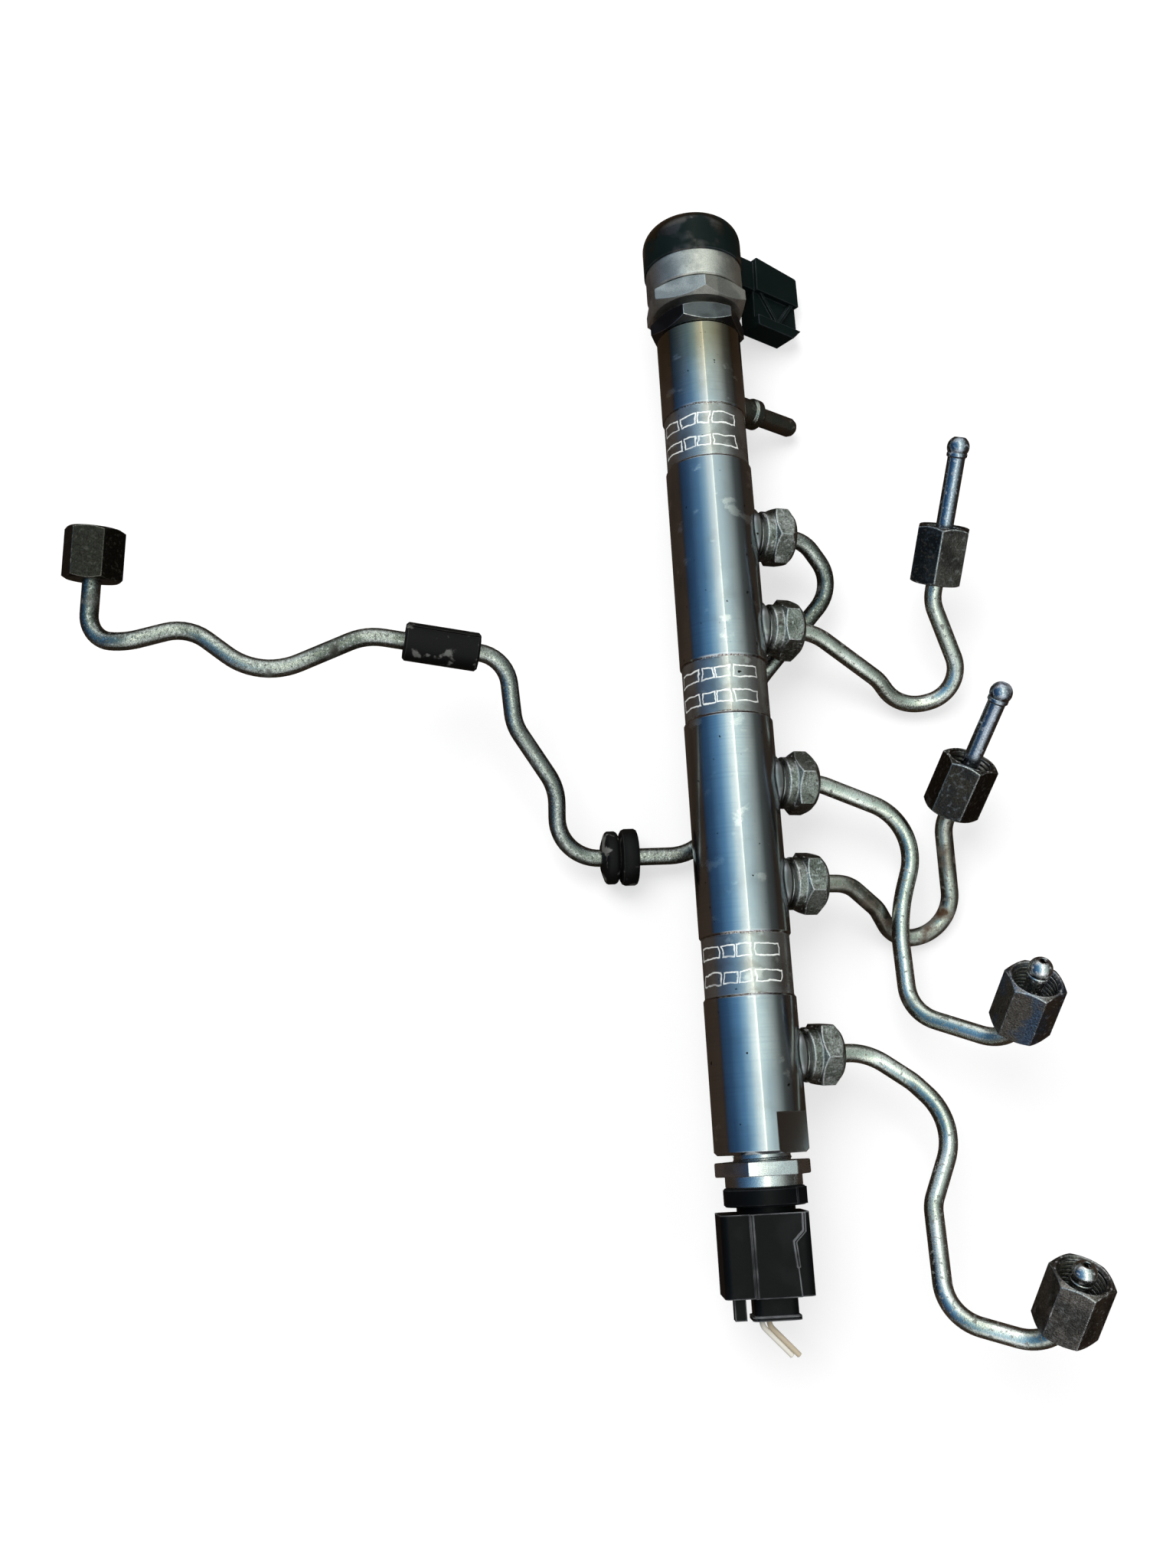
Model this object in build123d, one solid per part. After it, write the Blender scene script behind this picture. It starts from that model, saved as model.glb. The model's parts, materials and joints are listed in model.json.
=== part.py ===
from build123d import *
import os
from math import cos, sin, tan, radians, sqrt

# Common rail for a four cylinder diesel engine, with its high pressure pipes still on it.
# It lies as taken off the engine. The rail axis runs along Y through the origin, which is
# the middle of the centre clamp seat. The pressure control valve is at +Y, the pressure
# sensor at -Y, the pipe ports point to +X and slightly down, and the lowest points of the
# valve connector, the grommet and one injector pipe stand on a surface below the rail.

# Rail
rail_diameter = 30.0
rail_bore = 10.6
rail_foot = -151.0
rail_length = 285.5
rail_edge = 1.0
clamp_pitch = 92.4
clamp_seat_width = 19.0
clamp_seat_depth = 0.6
clamp_seat_taper = 0.9
end_thread_diameter = 18.0
end_thread_depth = 16.0
spanner_flat_length = 12.5
spanner_flat_half_angle = 30.0
spanner_flat_turn = 45.0

# Ports, in order from the valve to the sensor
port_places = [59.5, 24.7, -30.2, -64.7, -120.8]
port_dip = 16.0
boss_diameter = 19.0
boss_height = 15.4
boss_chamfer = 1.3
union_thread_diameter = 14.0
union_thread_length = 7.1
port_bore = 2.6
seat_mouth = 9.2
seat_half_angle = 30.0

# Return nipple
nipple_from_end = 22.0
side_dip = 38.0
nipple_reach = 46.0
nipple_spigot_diameter = 7.8
nipple_base_diameter = 9.6
nipple_ring_diameter = 11.0
nipple_tip_diameter = 7.0
nipple_bore = 3.4
nipple_face = 14.4
nipple_seat_depth = 5.0

# Pipes, their heads, thrust sleeves and union nuts
pipe_diameter = 6.0
pipe_bore = 2.4
head_diameter = 7.6
head_face = 3.6
head_length = 6.9
head_collar = 7.0
head_groove = 0.2
head_taper = 0.5
thrust_diameter = 12.0
thrust_front = 8.6
free_thrust_length = 8.0
feed_thrust_length = 5.0
rail_nut_flats = 19.0
rail_nut_length = 11.3
rail_nut_start = 17.0
rail_nut_wall = 2.4
rail_nut_back_face = 16.6
rail_nut_back_chamfer = 2.8
rail_nut_skirt = 3.3
rail_nut_skirt_diameter = 17.6
rail_nut_turns = [14.0, -6.0, 38.0, 9.0, 22.0]
free_nut_flats = 17.0
free_nut_length = 20.0
feed_nut_length = 17.0
free_nut_wall = 4.0
chamfer_angle = 30.0
chamfer_land = 0.96
nut_hole = 6.8

# Grommet and damping sleeve on the feed pipe
grommet_diameter = 19.8
grommet_disc = 6.0
grommet_groove = 0.6
grommet_taper = 0.7
grommet_place = 30.4
damper_diameter = 13.0
damper_length = 25.0
damper_place = 9.3
damper_slit = 0.8

# Pressure control valve, stations measured from the end of the rail
lock_nut_flats = 30.0
lock_nut_height = 7.0
valve_gap = 2.2
valve_hex_flats = 33.0
valve_hex_height = 7.5
collar_diameter = 34.8
collar_height = 9.7
cap_diameter = 35.8
cap_height = 18.0
cap_fillet = 7.5
lock_nut_turn = 39.0
valve_hex_turn = 6.0
valve_socket_depth = 28.5
valve_nose_diameter = 14.8
valve_nose_length = 11.5
drain_diameter = 1.6
armature_diameter = 11.0
armature_length = 12.0
armature_travel = 0.3
pin_diameter = 3.0
valve_ball_diameter = 3.4
valve_seat_diameter = 10.0
valve_seat_length = 4.5
valve_seat_hole = 1.4
valve_cone_mouth = 3.0
coil_inner = 17.0
coil_outer = 28.4
coil_length = 11.0
spring_diameter = 7.0
spring_wire = 0.9
spring_turns = 4
spring_room = 6.0
o_ring_section = 1.8
o_ring_place = 12.8

# Valve connector, stations measured from the valve axis
connector_back = 28.0
connector_reach = 49.6
connector_width = 28.6
connector_place = 1.3
connector_slant = 2.1
connector_bevel = 4.2
connector_thickness = 9.0
connector_shift = 1.0
connector_wall = 1.4
connector_plain_width = 13.9
connector_socket_depth = 14.0
connector_recess = 2.2
connector_corner = 0.9
connector_rib = 1.2
neck_width = 13.5
neck_thickness = 8.0

# Pressure sensor, stations measured from the foot of the rail
sensor_gap = 2.1
sensor_hex_flats = 27.0
sensor_hex_height = 4.4
sensor_hex_turn = -37.0
sensor_collar_diameter = 24.3
sensor_collar_height = 3.4
sensor_head_diameter = 26.0
sensor_head_height = 5.7
sensor_neck_diameter = 18.4
sensor_neck_length = 14.0
sensor_neck_wall = 1.6
sensor_passage = 3.0

# Harness plug on the sensor
plug_gap = 1.9
plug_length = 24.5
plug_width = 27.4
plug_thickness = 22.5
plug_corner = 2.5
plug_shift = -1.7
plug_panel_left = -6.0
plug_panel_height = 1.3
plug_rib = 0.9
plug_tail_width = 13.6
plug_tail_length = 7.0
plug_tail_thickness = 13.0
plug_tab_place = -10.6
plug_tail_place = 0.4
wire_diameter = 1.7
wire_spacing = 2.2
wire_middle = -2.8
terminal_width = 1.0

# Clearances
thread_gap = 0.05
press_gap = 0.02
running_gap = 0.05
seat_gap = 0.02

rail_top = rail_foot + rail_length
nipple_place = rail_top - nipple_from_end
port_direction = Vector(cos(radians(port_dip)), 0, -sin(radians(port_dip)))
side_direction = Vector(cos(radians(side_dip)), 0, -sin(radians(side_dip)))
along = Vector(0, 1, 0)


def frame_at(origin, direction, towards=along):
    """A plane whose Z runs along direction and whose X lies towards the given side."""
    side = towards - direction * towards.dot(direction)
    return Plane(origin=origin, x_dir=side, z_dir=direction)


def on_rail(y, direction=along):
    """A plane across the rail axis at y, with its X pointing up."""
    return frame_at(Vector(0, y, 0), direction, Vector(0, 0, 1))


def turned(stations, place):
    """A turned solid: stations are pairs of distance along the axis and radius."""
    outline = [(0, stations[0][0])]
    outline += [(radius, distance) for distance, radius in stations]
    outline += [(0, stations[-1][0])]
    points = [outline[0]]
    for point in outline[1:]:
        if point != points[-1]:
            points.append(point)
    face = make_face(Plane.XZ * Polyline(*points, close=True))
    return place * revolve(face, axis=Axis.Z)


def bore(start, end, radius, place):
    return turned([(start, radius), (end, radius)], place)


def hexagon(flats, start, height, place, turn=0.0, back=None):
    """A hexagonal length of bar with its corners chamfered at both ends.

    back, where it is given, is the radius of the first end's face and how far its chamfer runs.
    """
    prism = extrude(RegularPolygon(flats / 2, 6, major_radius=False, rotation=turn), height)
    corner = flats / 2 / cos(radians(30)) + 0.1
    land = flats / 2 * chamfer_land
    drop = (corner - land) * tan(radians(chamfer_angle))
    face, run = back or (land, drop)
    envelope = turned([(0, face), (run, corner), (height - drop, corner), (height, land)], Plane.XY)
    return place * (Pos(0, 0, start) * (prism & envelope))


# Routes of the pipes, from the thrust head in the port to the free end, and bend radii
feed_route = [(44.5, 45.0, -18.0), (14.0, 12.0, -26.0), (-8.5, -49.5, -25.5), (-60.0, -49.5, -21.0),
              (-59.0, -27.0, -9.0), (-72.2, -7.0, 1.5), (-73.6, 14.4, 9.9), (-119.1, 21.3, 19.0),
              (-153.1, 6.6, 22.5), (-176.3, 25.4, 24.0), (-195.8, 19.2, 28.5)]
feed_radii = [12, 13, 25, 18, 15, 19, 16, 12, 20.5, 22.5, 14, 14.5, 8.5]
feed_first_run = 5.7
injector_routes = [
    [(57.0, 9.5, -21.0), (65.0, 0.5, -28.5), (89.0, 4.5, -24.5)],
    [(65.5, -44.0, -17.0), (54.5, -76.0, -18.0), (54.0, -108.5, -12.5)],
    [(48.0, -72.5, -19.5), (55.5, -83.5, -29.0), (76.0, -78.0, -30.0)],
    [(52.0, -131.0, -10.0), (64.0, -144.5, -6.0), (52.5, -169.0, -1.5), (50.0, -201.0, 11.5)],
]
injector_first_runs = [6.4, 3.5, 10.5, 11.5]
injector_radii = [
    [20, 15, 14, 12, 14],
    [14, 19, 60, 14, 12],
    [13, 12, 12, 14, 13],
    [18, 13, 20, 12, 14, 12],
]

# Free ends: middle of the union nut, its axis, its turn, and the runs of pipe behind and ahead of it
nut_middles = [(78.2, 47.5, 0.0), (84.8, -109.5, 15.0), (77.7, -33.9, -6.0), (82.8, -196.4, 30.0)]
nut_axes = [(0.144, 0.843, 0.517), (0.15, 0.65, 0.745), (0.306, 0.72, 0.623), (0.202, 0.771, 0.604)]
nut_turns = [48.0, 13.0, 18.0, 11.0]
run_behind = [16.5, 18.0, 16.0, 18.0]
run_ahead = [40.1, 17.5, 38.6, 13.7]
feed_middle = (-205.1, 48.5, 32.0)
feed_axis = (0.121, 0.967, 0.225)
feed_nut_turn = 36.0
feed_behind = 27.3
feed_ahead = 7.5

# Where the head of a pipe comes to rest in the cone of a port
cone_apex = boss_height + union_thread_length - seat_mouth / 2 / tan(radians(seat_half_angle))
ball_middle = cone_apex + (head_diameter / 2 + seat_gap) / sin(radians(seat_half_angle))
ball_front = sqrt((head_diameter / 2) ** 2 - (head_face / 2) ** 2)
head_start = ball_middle - ball_front
head_waist = head_collar / 2 - head_groove
head_waist_place = ball_front + sqrt((head_diameter / 2) ** 2 - head_waist ** 2)

# The thrust sleeve is cupped over the collar of the head and its rim touches the ball
cup_radius = head_collar / 2 + running_gap
cup_contact = ball_front + sqrt((head_diameter / 2) ** 2 - cup_radius ** 2) + seat_gap
cup_depth = head_length - head_taper - cup_contact
rail_nut_end = rail_nut_start + rail_nut_length
rail_thrust_length = rail_nut_end - rail_nut_wall - seat_gap - head_start - cup_contact


def port_frame(index):
    return frame_at(Vector(0, port_places[index], 0), port_direction)


def free_frame(middle, axis):
    return frame_at(Vector(*middle), Vector(*axis).normalized(), Vector(0, 0, 1))


def rail_blank():
    """The turned bar with its three clamp seats."""
    radius = rail_diameter / 2
    stations = [(rail_foot, radius - rail_edge), (rail_foot + rail_edge, radius)]
    for step in (-1, 0, 1):
        low = step * clamp_pitch - clamp_seat_width / 2
        high = low + clamp_seat_width
        stations.append((low - clamp_seat_taper, radius))
        stations.append((low, radius - clamp_seat_depth))
        stations.append((high, radius - clamp_seat_depth))
        stations.append((high + clamp_seat_taper, radius))
    stations += [(rail_top - rail_edge, radius), (rail_top, radius - rail_edge)]
    return turned(stations, on_rail(0))


def port_boss(index):
    """One boss with its threaded stub, on the side of the rail."""
    radius = boss_diameter / 2
    stub = union_thread_diameter / 2
    end = boss_height + union_thread_length
    stations = [(0, radius), (boss_height - boss_chamfer, radius), (boss_height, radius - boss_chamfer),
                (boss_height, stub), (end - 0.8, stub), (end, stub - 0.8)]
    return turned(stations, port_frame(index))


def port_passage(index):
    """The drilling and the cone seat of one port."""
    end = boss_height + union_thread_length
    place = port_frame(index)
    small = port_bore / 2
    small_at = cone_apex + small / tan(radians(seat_half_angle))
    return turned([(0, small), (small_at, small), (end, seat_mouth / 2), (end + 1, seat_mouth / 2)], place)


def spanner_flat():
    """The flat milled beside the foot of the rail."""
    depth = rail_diameter / 2 * cos(radians(spanner_flat_half_angle))
    block = Box(rail_diameter, spanner_flat_length, rail_diameter,
                align=(Align.CENTER, Align.MIN, Align.MIN))
    return Pos(0, rail_foot, 0) * Rot(0, spanner_flat_turn, 0) * Pos(0, 0, depth) * block


def make_rail_body():
    body = rail_blank()
    for index in range(len(port_places)):
        body += port_boss(index)
    body -= bore(rail_foot, rail_top, rail_bore / 2, on_rail(0))
    thread = end_thread_diameter / 2 + thread_gap
    body -= bore(rail_foot - 1, rail_foot + end_thread_depth, thread, on_rail(0))
    body -= bore(rail_top - valve_socket_depth, rail_top + 1, thread, on_rail(0))
    for index in range(len(port_places)):
        body -= port_passage(index)
    side = frame_at(Vector(0, nipple_place, 0), side_direction)
    spot = nipple_base_diameter / 2 + 0.5
    body -= bore(nipple_face, rail_diameter, spot, side)
    body -= bore(nipple_face - nipple_seat_depth, nipple_face, nipple_spigot_diameter / 2 + press_gap, side)
    body -= bore(0, nipple_face, nipple_bore / 2, side)
    body -= spanner_flat()
    return body


def make_return_nipple():
    """The tube stub that the fuel return hose is pushed over."""
    side = frame_at(Vector(0, nipple_place, 0), side_direction)
    base = nipple_base_diameter / 2
    ring = nipple_ring_diameter / 2
    tip = nipple_tip_diameter / 2
    ring_at = nipple_face + 9.0
    spigot = nipple_spigot_diameter / 2
    stations = [(nipple_face - nipple_seat_depth, spigot), (nipple_face, spigot), (nipple_face, base),
                (ring_at - 0.7, base), (ring_at, ring), (ring_at + 2.8, ring),
                (ring_at + 3.8, base - 0.4), (ring_at + 5.2, tip), (nipple_reach - 2.4, tip),
                (nipple_reach - 0.9, tip - 0.6), (nipple_reach, tip - 1.5)]
    return turned(stations, side) - bore(0, nipple_reach + 1, nipple_bore / 2, side)


def pipe_head(place):
    """The upset head at a pipe end: a ball with a flat face and a small collar behind it.

    The plane's Z points from the face of the head back along the pipe.
    """
    ball = head_diameter / 2
    face = head_face / 2
    hole = pipe_bore / 2
    collar = head_collar / 2
    outline = Plane.XZ * (
        Line((hole, 0), (face, 0))
        + ThreePointArc((face, 0), (ball, ball_front), (head_waist, head_waist_place))
        + Polyline((head_waist, head_waist_place), (collar, head_waist_place + head_groove),
                   (collar, head_length - head_taper), (pipe_diameter / 2, head_length),
                   (hole, head_length), (hole, 0)))
    return place * revolve(make_face(outline), axis=Axis.Z)


def bent_pipe(points, radii):
    """A pipe of straight runs and tangent bends, with a head at each end and its bore open."""
    path = FilletPolyline(*points, radius=radii)
    first = Vector(*points[1]) - Vector(*points[0])
    last = Vector(*points[-1]) - Vector(*points[-2])
    start = frame_at(Vector(*points[0]), first.normalized(), Vector(0.3, 0.2, 1))
    end = frame_at(Vector(*points[-1]), last.normalized() * -1, Vector(0.3, 0.2, 1))
    ring = Circle(pipe_diameter / 2) - Circle(pipe_bore / 2)
    pipe = sweep(start * ring, path=path)
    for place in (start, end):
        pipe -= bore(-1, ball_front, pipe_diameter, place)
        pipe += pipe_head(place)
    return pipe


def port_point(index, distance):
    return tuple(port_frame(index).from_local_coords(Vector(0, 0, distance)))


def free_point(middle, axis, distance):
    return tuple(free_frame(middle, axis).from_local_coords(Vector(0, 0, distance)))


def make_feed_pipe():
    points = [port_point(0, head_start), port_point(0, rail_nut_end + feed_first_run)] + feed_route
    points.append(free_point(feed_middle, feed_axis, -feed_behind))
    points.append(free_point(feed_middle, feed_axis, feed_ahead))
    return bent_pipe(points, feed_radii)


def make_injector_pipe(index):
    port = index + 1
    middle, axis = nut_middles[index], nut_axes[index]
    first = rail_nut_end + injector_first_runs[index]
    points = [port_point(port, head_start), port_point(port, first)] + injector_routes[index]
    points.append(free_point(middle, axis, -run_behind[index]))
    points.append(free_point(middle, axis, run_ahead[index]))
    return bent_pipe(points, injector_radii[index])


def make_thrust_sleeve(place, length, back):
    """The ring between a nut and the pipe head, cupped at the front to hold the ball."""
    outer = thrust_diameter / 2
    inner = pipe_diameter / 2 + running_gap
    front = back + length
    ring = turned([(back, outer), (back + length * 0.35, outer), (front, thrust_front / 2)], place)
    ring -= bore(back - 1, front + 1, inner, place)
    floor = front - cup_depth
    return ring - turned([(floor - head_taper, inner), (floor, cup_radius), (front, cup_radius)], place)


def union_nut(place, flats, start, length, wall, turn, back=None):
    """A hexagon nut, open and threaded at its mouth, with a wall behind that the pipe passes.

    The plane's Z points out of the mouth.
    """
    inside = union_thread_diameter / 2 + thread_gap
    end = start + length
    body = hexagon(flats, start, length, place, turn, back)
    body -= bore(start + wall, end + 1, inside, place)
    body -= turned([(end - 0.8, inside), (end, inside + 0.8)], place)
    return body - bore(start - 1, end, nut_hole / 2, place)


def port_mouth(index):
    """The port's plane turned round, so that its Z points at the rail."""
    port = port_frame(index)
    return Plane(origin=port.origin, x_dir=port.x_dir, z_dir=-port.z_dir)


def make_rail_nut(index):
    mouth = port_mouth(index)
    hex_length = rail_nut_length - rail_nut_skirt
    skirt = rail_nut_skirt_diameter / 2
    nut = union_nut(mouth, rail_nut_flats, -rail_nut_end, hex_length, rail_nut_wall,
                    rail_nut_turns[index], (rail_nut_back_face / 2, rail_nut_back_chamfer))
    collar = turned([(-rail_nut_start - rail_nut_skirt - 0.5, skirt), (-rail_nut_start - 0.4, skirt),
                     (-rail_nut_start, skirt - 0.4)], mouth)
    inside = union_thread_diameter / 2 + thread_gap
    return nut + (collar - bore(-rail_nut_end + rail_nut_wall, 0, inside, mouth))


def make_rail_sleeve(index):
    back = rail_nut_wall + seat_gap - rail_nut_end
    return make_thrust_sleeve(port_mouth(index), rail_thrust_length, back)


def make_free_nut(middle, axis, length, turn):
    return union_nut(free_frame(middle, axis), free_nut_flats, -length / 2, length, free_nut_wall, turn)


def make_free_sleeve(middle, axis, length, nut_length):
    back = -nut_length / 2 + free_nut_wall + seat_gap
    return make_thrust_sleeve(free_frame(middle, axis), length, back)


def feed_run(corner, distance):
    """A plane on the feed pipe, a distance along the run that leaves a corner of its route."""
    start = Vector(*feed_route[corner])
    direction = (Vector(*feed_route[corner + 1]) - start).normalized()
    return frame_at(start + direction * distance, direction, Vector(0, 0, 1))


def make_pipe_grommet():
    """The rubber grommet that holds the feed pipe in its bracket: two discs with a groove."""
    place = feed_run(2, grommet_place - grommet_disc - grommet_groove / 2)
    radius = grommet_diameter / 2
    groove = radius - 2.5
    far = 2 * grommet_disc + grommet_groove
    stations = [(0, radius - 0.8), (0.8, radius), (grommet_disc - 0.6, radius), (grommet_disc, radius - 0.6),
                (grommet_disc, groove), (grommet_disc + grommet_groove, groove),
                (grommet_disc + grommet_groove, radius - grommet_taper),
                (far - 1.2, radius - grommet_taper), (far, radius - grommet_taper - 1.2)]
    hole = bore(-1, far + 1, pipe_diameter / 2 + press_gap, place)
    return turned(stations, place) - hole


def make_pipe_damper():
    """The split rubber tube clipped over the feed pipe."""
    place = feed_run(6, damper_place)
    radius = damper_diameter / 2
    tube = turned([(0, radius - 0.8), (0.8, radius), (damper_length - 0.8, radius),
                   (damper_length, radius - 0.8)], place)
    tube -= bore(-1, damper_length + 1, pipe_diameter / 2 + press_gap, place)
    slit = Box(damper_diameter, damper_slit, damper_length + 2, align=(Align.MIN, Align.CENTER, Align.MIN))
    return tube - place * (Rot(0, 0, 35) * Pos(0, 0, -1) * slit)


hex_start = rail_top + lock_nut_height + valve_gap
collar_start = hex_start + valve_hex_height
cap_start = collar_start + collar_height
nose_start = rail_top - valve_socket_depth + seat_gap
seat_end = nose_start + valve_seat_length
ball_centre = seat_end - valve_cone_mouth / 2 + (valve_ball_diameter / 2 + seat_gap) * sqrt(2)
o_ring_middle = end_thread_diameter / 2 + thread_gap - seat_gap - o_ring_section / 2
armature_start = cap_start - 4.0
spring_start = armature_start + armature_length
pole_end = spring_start + spring_room + 1.2


def make_valve_lock_nut():
    nut = hexagon(lock_nut_flats, rail_top, lock_nut_height, on_rail(0), lock_nut_turn)
    return nut - bore(rail_top - 1, hex_start, end_thread_diameter / 2 + thread_gap, on_rail(0))


def make_valve_body():
    """The steel body: nose, threaded shank, hexagon, collar and the tube that the coil sits on."""
    axis = on_rail(0)
    shank = end_thread_diameter / 2
    nose = valve_nose_diameter / 2
    nose_end = nose_start + valve_nose_length
    body = turned([(nose_start, nose), (nose_end, nose), (nose_end, shank), (hex_start, shank)], axis)
    body += hexagon(valve_hex_flats, hex_start, valve_hex_height, axis, valve_hex_turn)
    collar = collar_diameter / 2
    body += turned([(collar_start, collar - 0.6), (collar_start + 0.6, collar), (cap_start, collar)], axis)
    body += bore(cap_start, pole_end, coil_inner / 2 - running_gap, axis)
    groove = nose_start + o_ring_place
    floor = o_ring_middle - o_ring_section / 2 - seat_gap
    width = o_ring_section + 2 * seat_gap
    body -= bore(groove, groove + width, shank + 1, axis) - bore(groove, groove + width, floor, axis)
    body -= bore(nose_start - 1, seat_end, valve_seat_diameter / 2 + press_gap, axis)
    body -= bore(seat_end, seat_end + valve_seat_length, valve_ball_diameter / 2 + 0.6, axis)
    body -= bore(seat_end, armature_start, pin_diameter / 2 + running_gap, axis)
    body -= bore(armature_start - running_gap, spring_start + armature_travel,
                 armature_diameter / 2 + running_gap, axis)
    body -= bore(spring_start, spring_start + spring_room, spring_diameter / 2 + 0.2, axis)
    drain = frame_at(Vector(0, seat_end + valve_seat_length / 2, 0), Vector(1, 0, 0))
    return body - bore(-end_thread_diameter, end_thread_diameter, drain_diameter / 2, drain)


def make_valve_seat():
    """The pressed-in seat with the hole that the ball closes in a 45 degree cone."""
    axis = on_rail(0)
    hole = valve_seat_hole / 2
    mouth = valve_cone_mouth / 2
    seat = bore(nose_start, seat_end, valve_seat_diameter / 2, axis) - bore(nose_start - 1, seat_end, hole, axis)
    return seat - turned([(seat_end - mouth + hole, hole), (seat_end, mouth)], axis)


def make_valve_ball():
    return Pos(0, ball_centre, 0) * Sphere(valve_ball_diameter / 2)


def make_valve_armature():
    """The iron armature with the pin that presses on the ball."""
    pin = pin_diameter / 2
    core = armature_diameter / 2
    tip = ball_centre + valve_ball_diameter / 2 + seat_gap
    return turned([(tip, pin - 0.4), (tip + 0.4, pin), (armature_start, pin), (armature_start, core),
                   (spring_start, core)], on_rail(0))


def make_valve_spring():
    """The closing spring behind the armature, with room for the armature's travel."""
    height = spring_room - spring_wire - armature_travel - 2 * seat_gap
    helix = Helix(height / spring_turns, height, (spring_diameter - spring_wire) / 2)
    coil = sweep(Plane(origin=helix @ 0, z_dir=helix % 0) * Circle(spring_wire / 2), path=helix)
    return on_rail(spring_start + spring_wire / 2 + seat_gap) * coil


def make_valve_coil():
    axis = on_rail(0)
    start = cap_start + seat_gap
    ring = bore(start, start + coil_length, coil_outer / 2, axis)
    return ring - bore(start - 1, start + coil_length + 1, coil_inner / 2, axis)


def make_valve_o_ring():
    middle = nose_start + o_ring_place + o_ring_section / 2 + seat_gap
    return on_rail(middle) * Torus(o_ring_middle, o_ring_section / 2)


def side_frame(distance):
    """A plane across the valve connector: X along the rail, Y up and out of its wide face."""
    place = frame_at(Vector(0, cap_start + connector_place, 0), side_direction)
    return Plane(origin=place.from_local_coords(Vector(0, 0, distance)), x_dir=place.x_dir, z_dir=place.z_dir)


def connector_block(start, end, low, high, bottom, top):
    """A block of the connector between two distances from the valve axis."""
    block = Box(high - low, top - bottom, end - start, align=(Align.MIN, Align.MIN, Align.MIN))
    return side_frame(start) * (Pos(low, bottom, 0) * block)


def connector_slab(points, bottom, top):
    """A slab of the connector: each point is a place along the valve axis and a distance from it."""
    frame = side_frame(0)
    flat = Plane(origin=frame.origin, x_dir=frame.x_dir, z_dir=frame.y_dir)
    outline = Polyline(*[(place, -distance) for place, distance in points], close=True)
    return flat * (Pos(0, 0, bottom) * extrude(make_face(outline), top - bottom))


def connector_ribs(low, split, floor):
    """The two slanting ribs on the set back part of the connector's wide face."""
    frame = side_frame(0)
    flat = Plane(origin=frame.origin, x_dir=frame.x_dir, z_dir=frame.y_dir)
    middle = (connector_back + connector_reach) / 2
    ends = (connector_back + 2.5, connector_reach - 2.5)
    line = Polyline((split + 0.5, -ends[0]), (low, -middle), (split + 0.5, -ends[1]))
    return flat * (Pos(0, 0, floor - 0.2) * extrude(trace(line, connector_rib), 1.4))


def make_valve_cap():
    """The moulded cap over the coil, in one piece with the connector shroud."""
    axis = on_rail(0)
    radius = cap_diameter / 2
    end = cap_start + cap_height
    turn = cap_fillet * (1 - cos(radians(45)))
    outline = Plane.XZ * (
        Polyline((0, cap_start), (radius - 0.4, cap_start), (radius, cap_start + 0.4), (radius, end - cap_fillet))
        + ThreePointArc((radius, end - cap_fillet), (radius - turn, end - turn), (radius - cap_fillet, end))
        + Polyline((radius - cap_fillet, end), (0, end + 0.8), (0, cap_start)))
    cap = axis * revolve(make_face(outline), axis=Axis.Z)
    low = -connector_width / 2
    high = connector_width / 2
    top = connector_thickness / 2 + connector_shift
    bottom = top - connector_thickness
    split = high - connector_plain_width
    cap += connector_block(radius / 2, connector_back + 2, high - neck_width, high - 1.4,
                           -neck_thickness / 2, neck_thickness / 2)
    cap -= bore(collar_start, cap_start, collar_diameter / 2 + 0.3, axis)
    shroud = connector_slab([(low, connector_back - 1), (low, connector_reach - connector_bevel),
                             (low + connector_bevel, connector_reach),
                             (high - connector_slant, connector_reach), (high, connector_back)], bottom, top)
    cap += fillet(shroud.edges().filter_by(Axis((0, 0, 0), side_frame(0).y_dir)), connector_corner)
    cap -= connector_block(connector_back - 2, connector_reach + 1, low + connector_bevel, split,
                           top - connector_recess, top + 1)
    cap += connector_ribs(low + connector_bevel, split, top - connector_recess)
    cap -= connector_block(connector_reach - connector_socket_depth, connector_reach + 1,
                           low + connector_bevel, high - connector_slant - connector_wall,
                           bottom + connector_wall, top - connector_recess - connector_wall)
    cap -= bore(cap_start - 1, cap_start + coil_length + 3 * seat_gap, coil_outer / 2 + running_gap, axis)
    cap -= bore(cap_start - 1, pole_end + seat_gap, coil_inner / 2, axis)
    for blade in terminal_blocks():
        cap -= blade
    return cap


def terminal_blocks():
    """The two blades of the valve connector."""
    middle = connector_shift - connector_recess / 2
    half = terminal_width / 2
    start = connector_reach - connector_socket_depth - 4
    end = connector_reach - 6
    return [connector_block(start, end, x - half, x + half, middle - 0.4, middle + 0.4) for x in (-3.0, 3.0)]


def make_valve_terminals():
    return Compound(children=terminal_blocks())


def sensor_stations():
    hex_end = rail_foot - sensor_gap
    collar_end = hex_end - sensor_hex_height
    head = collar_end - sensor_collar_height
    neck = head - sensor_head_height
    return hex_end, collar_end, head, neck


def make_sensor_body():
    """The steel body of the pressure sensor, screwed into the foot of the rail."""
    down = on_rail(0, Vector(0, -1, 0))
    hex_end, collar_end, head, _ = sensor_stations()
    shank = end_thread_diameter / 2
    tip = rail_foot + end_thread_depth - seat_gap
    body = turned([(-tip, shank - 1.0), (-tip + 1.0, shank), (-hex_end, shank)], down)
    body += hexagon(sensor_hex_flats, -hex_end, sensor_hex_height, down, sensor_hex_turn)
    collar = sensor_collar_diameter / 2
    body += turned([(-collar_end, collar), (-head - 0.5, collar), (-head, collar - 0.5)], down)
    return body - bore(-tip - 1, -tip + end_thread_depth, sensor_passage / 2, down)


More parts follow.
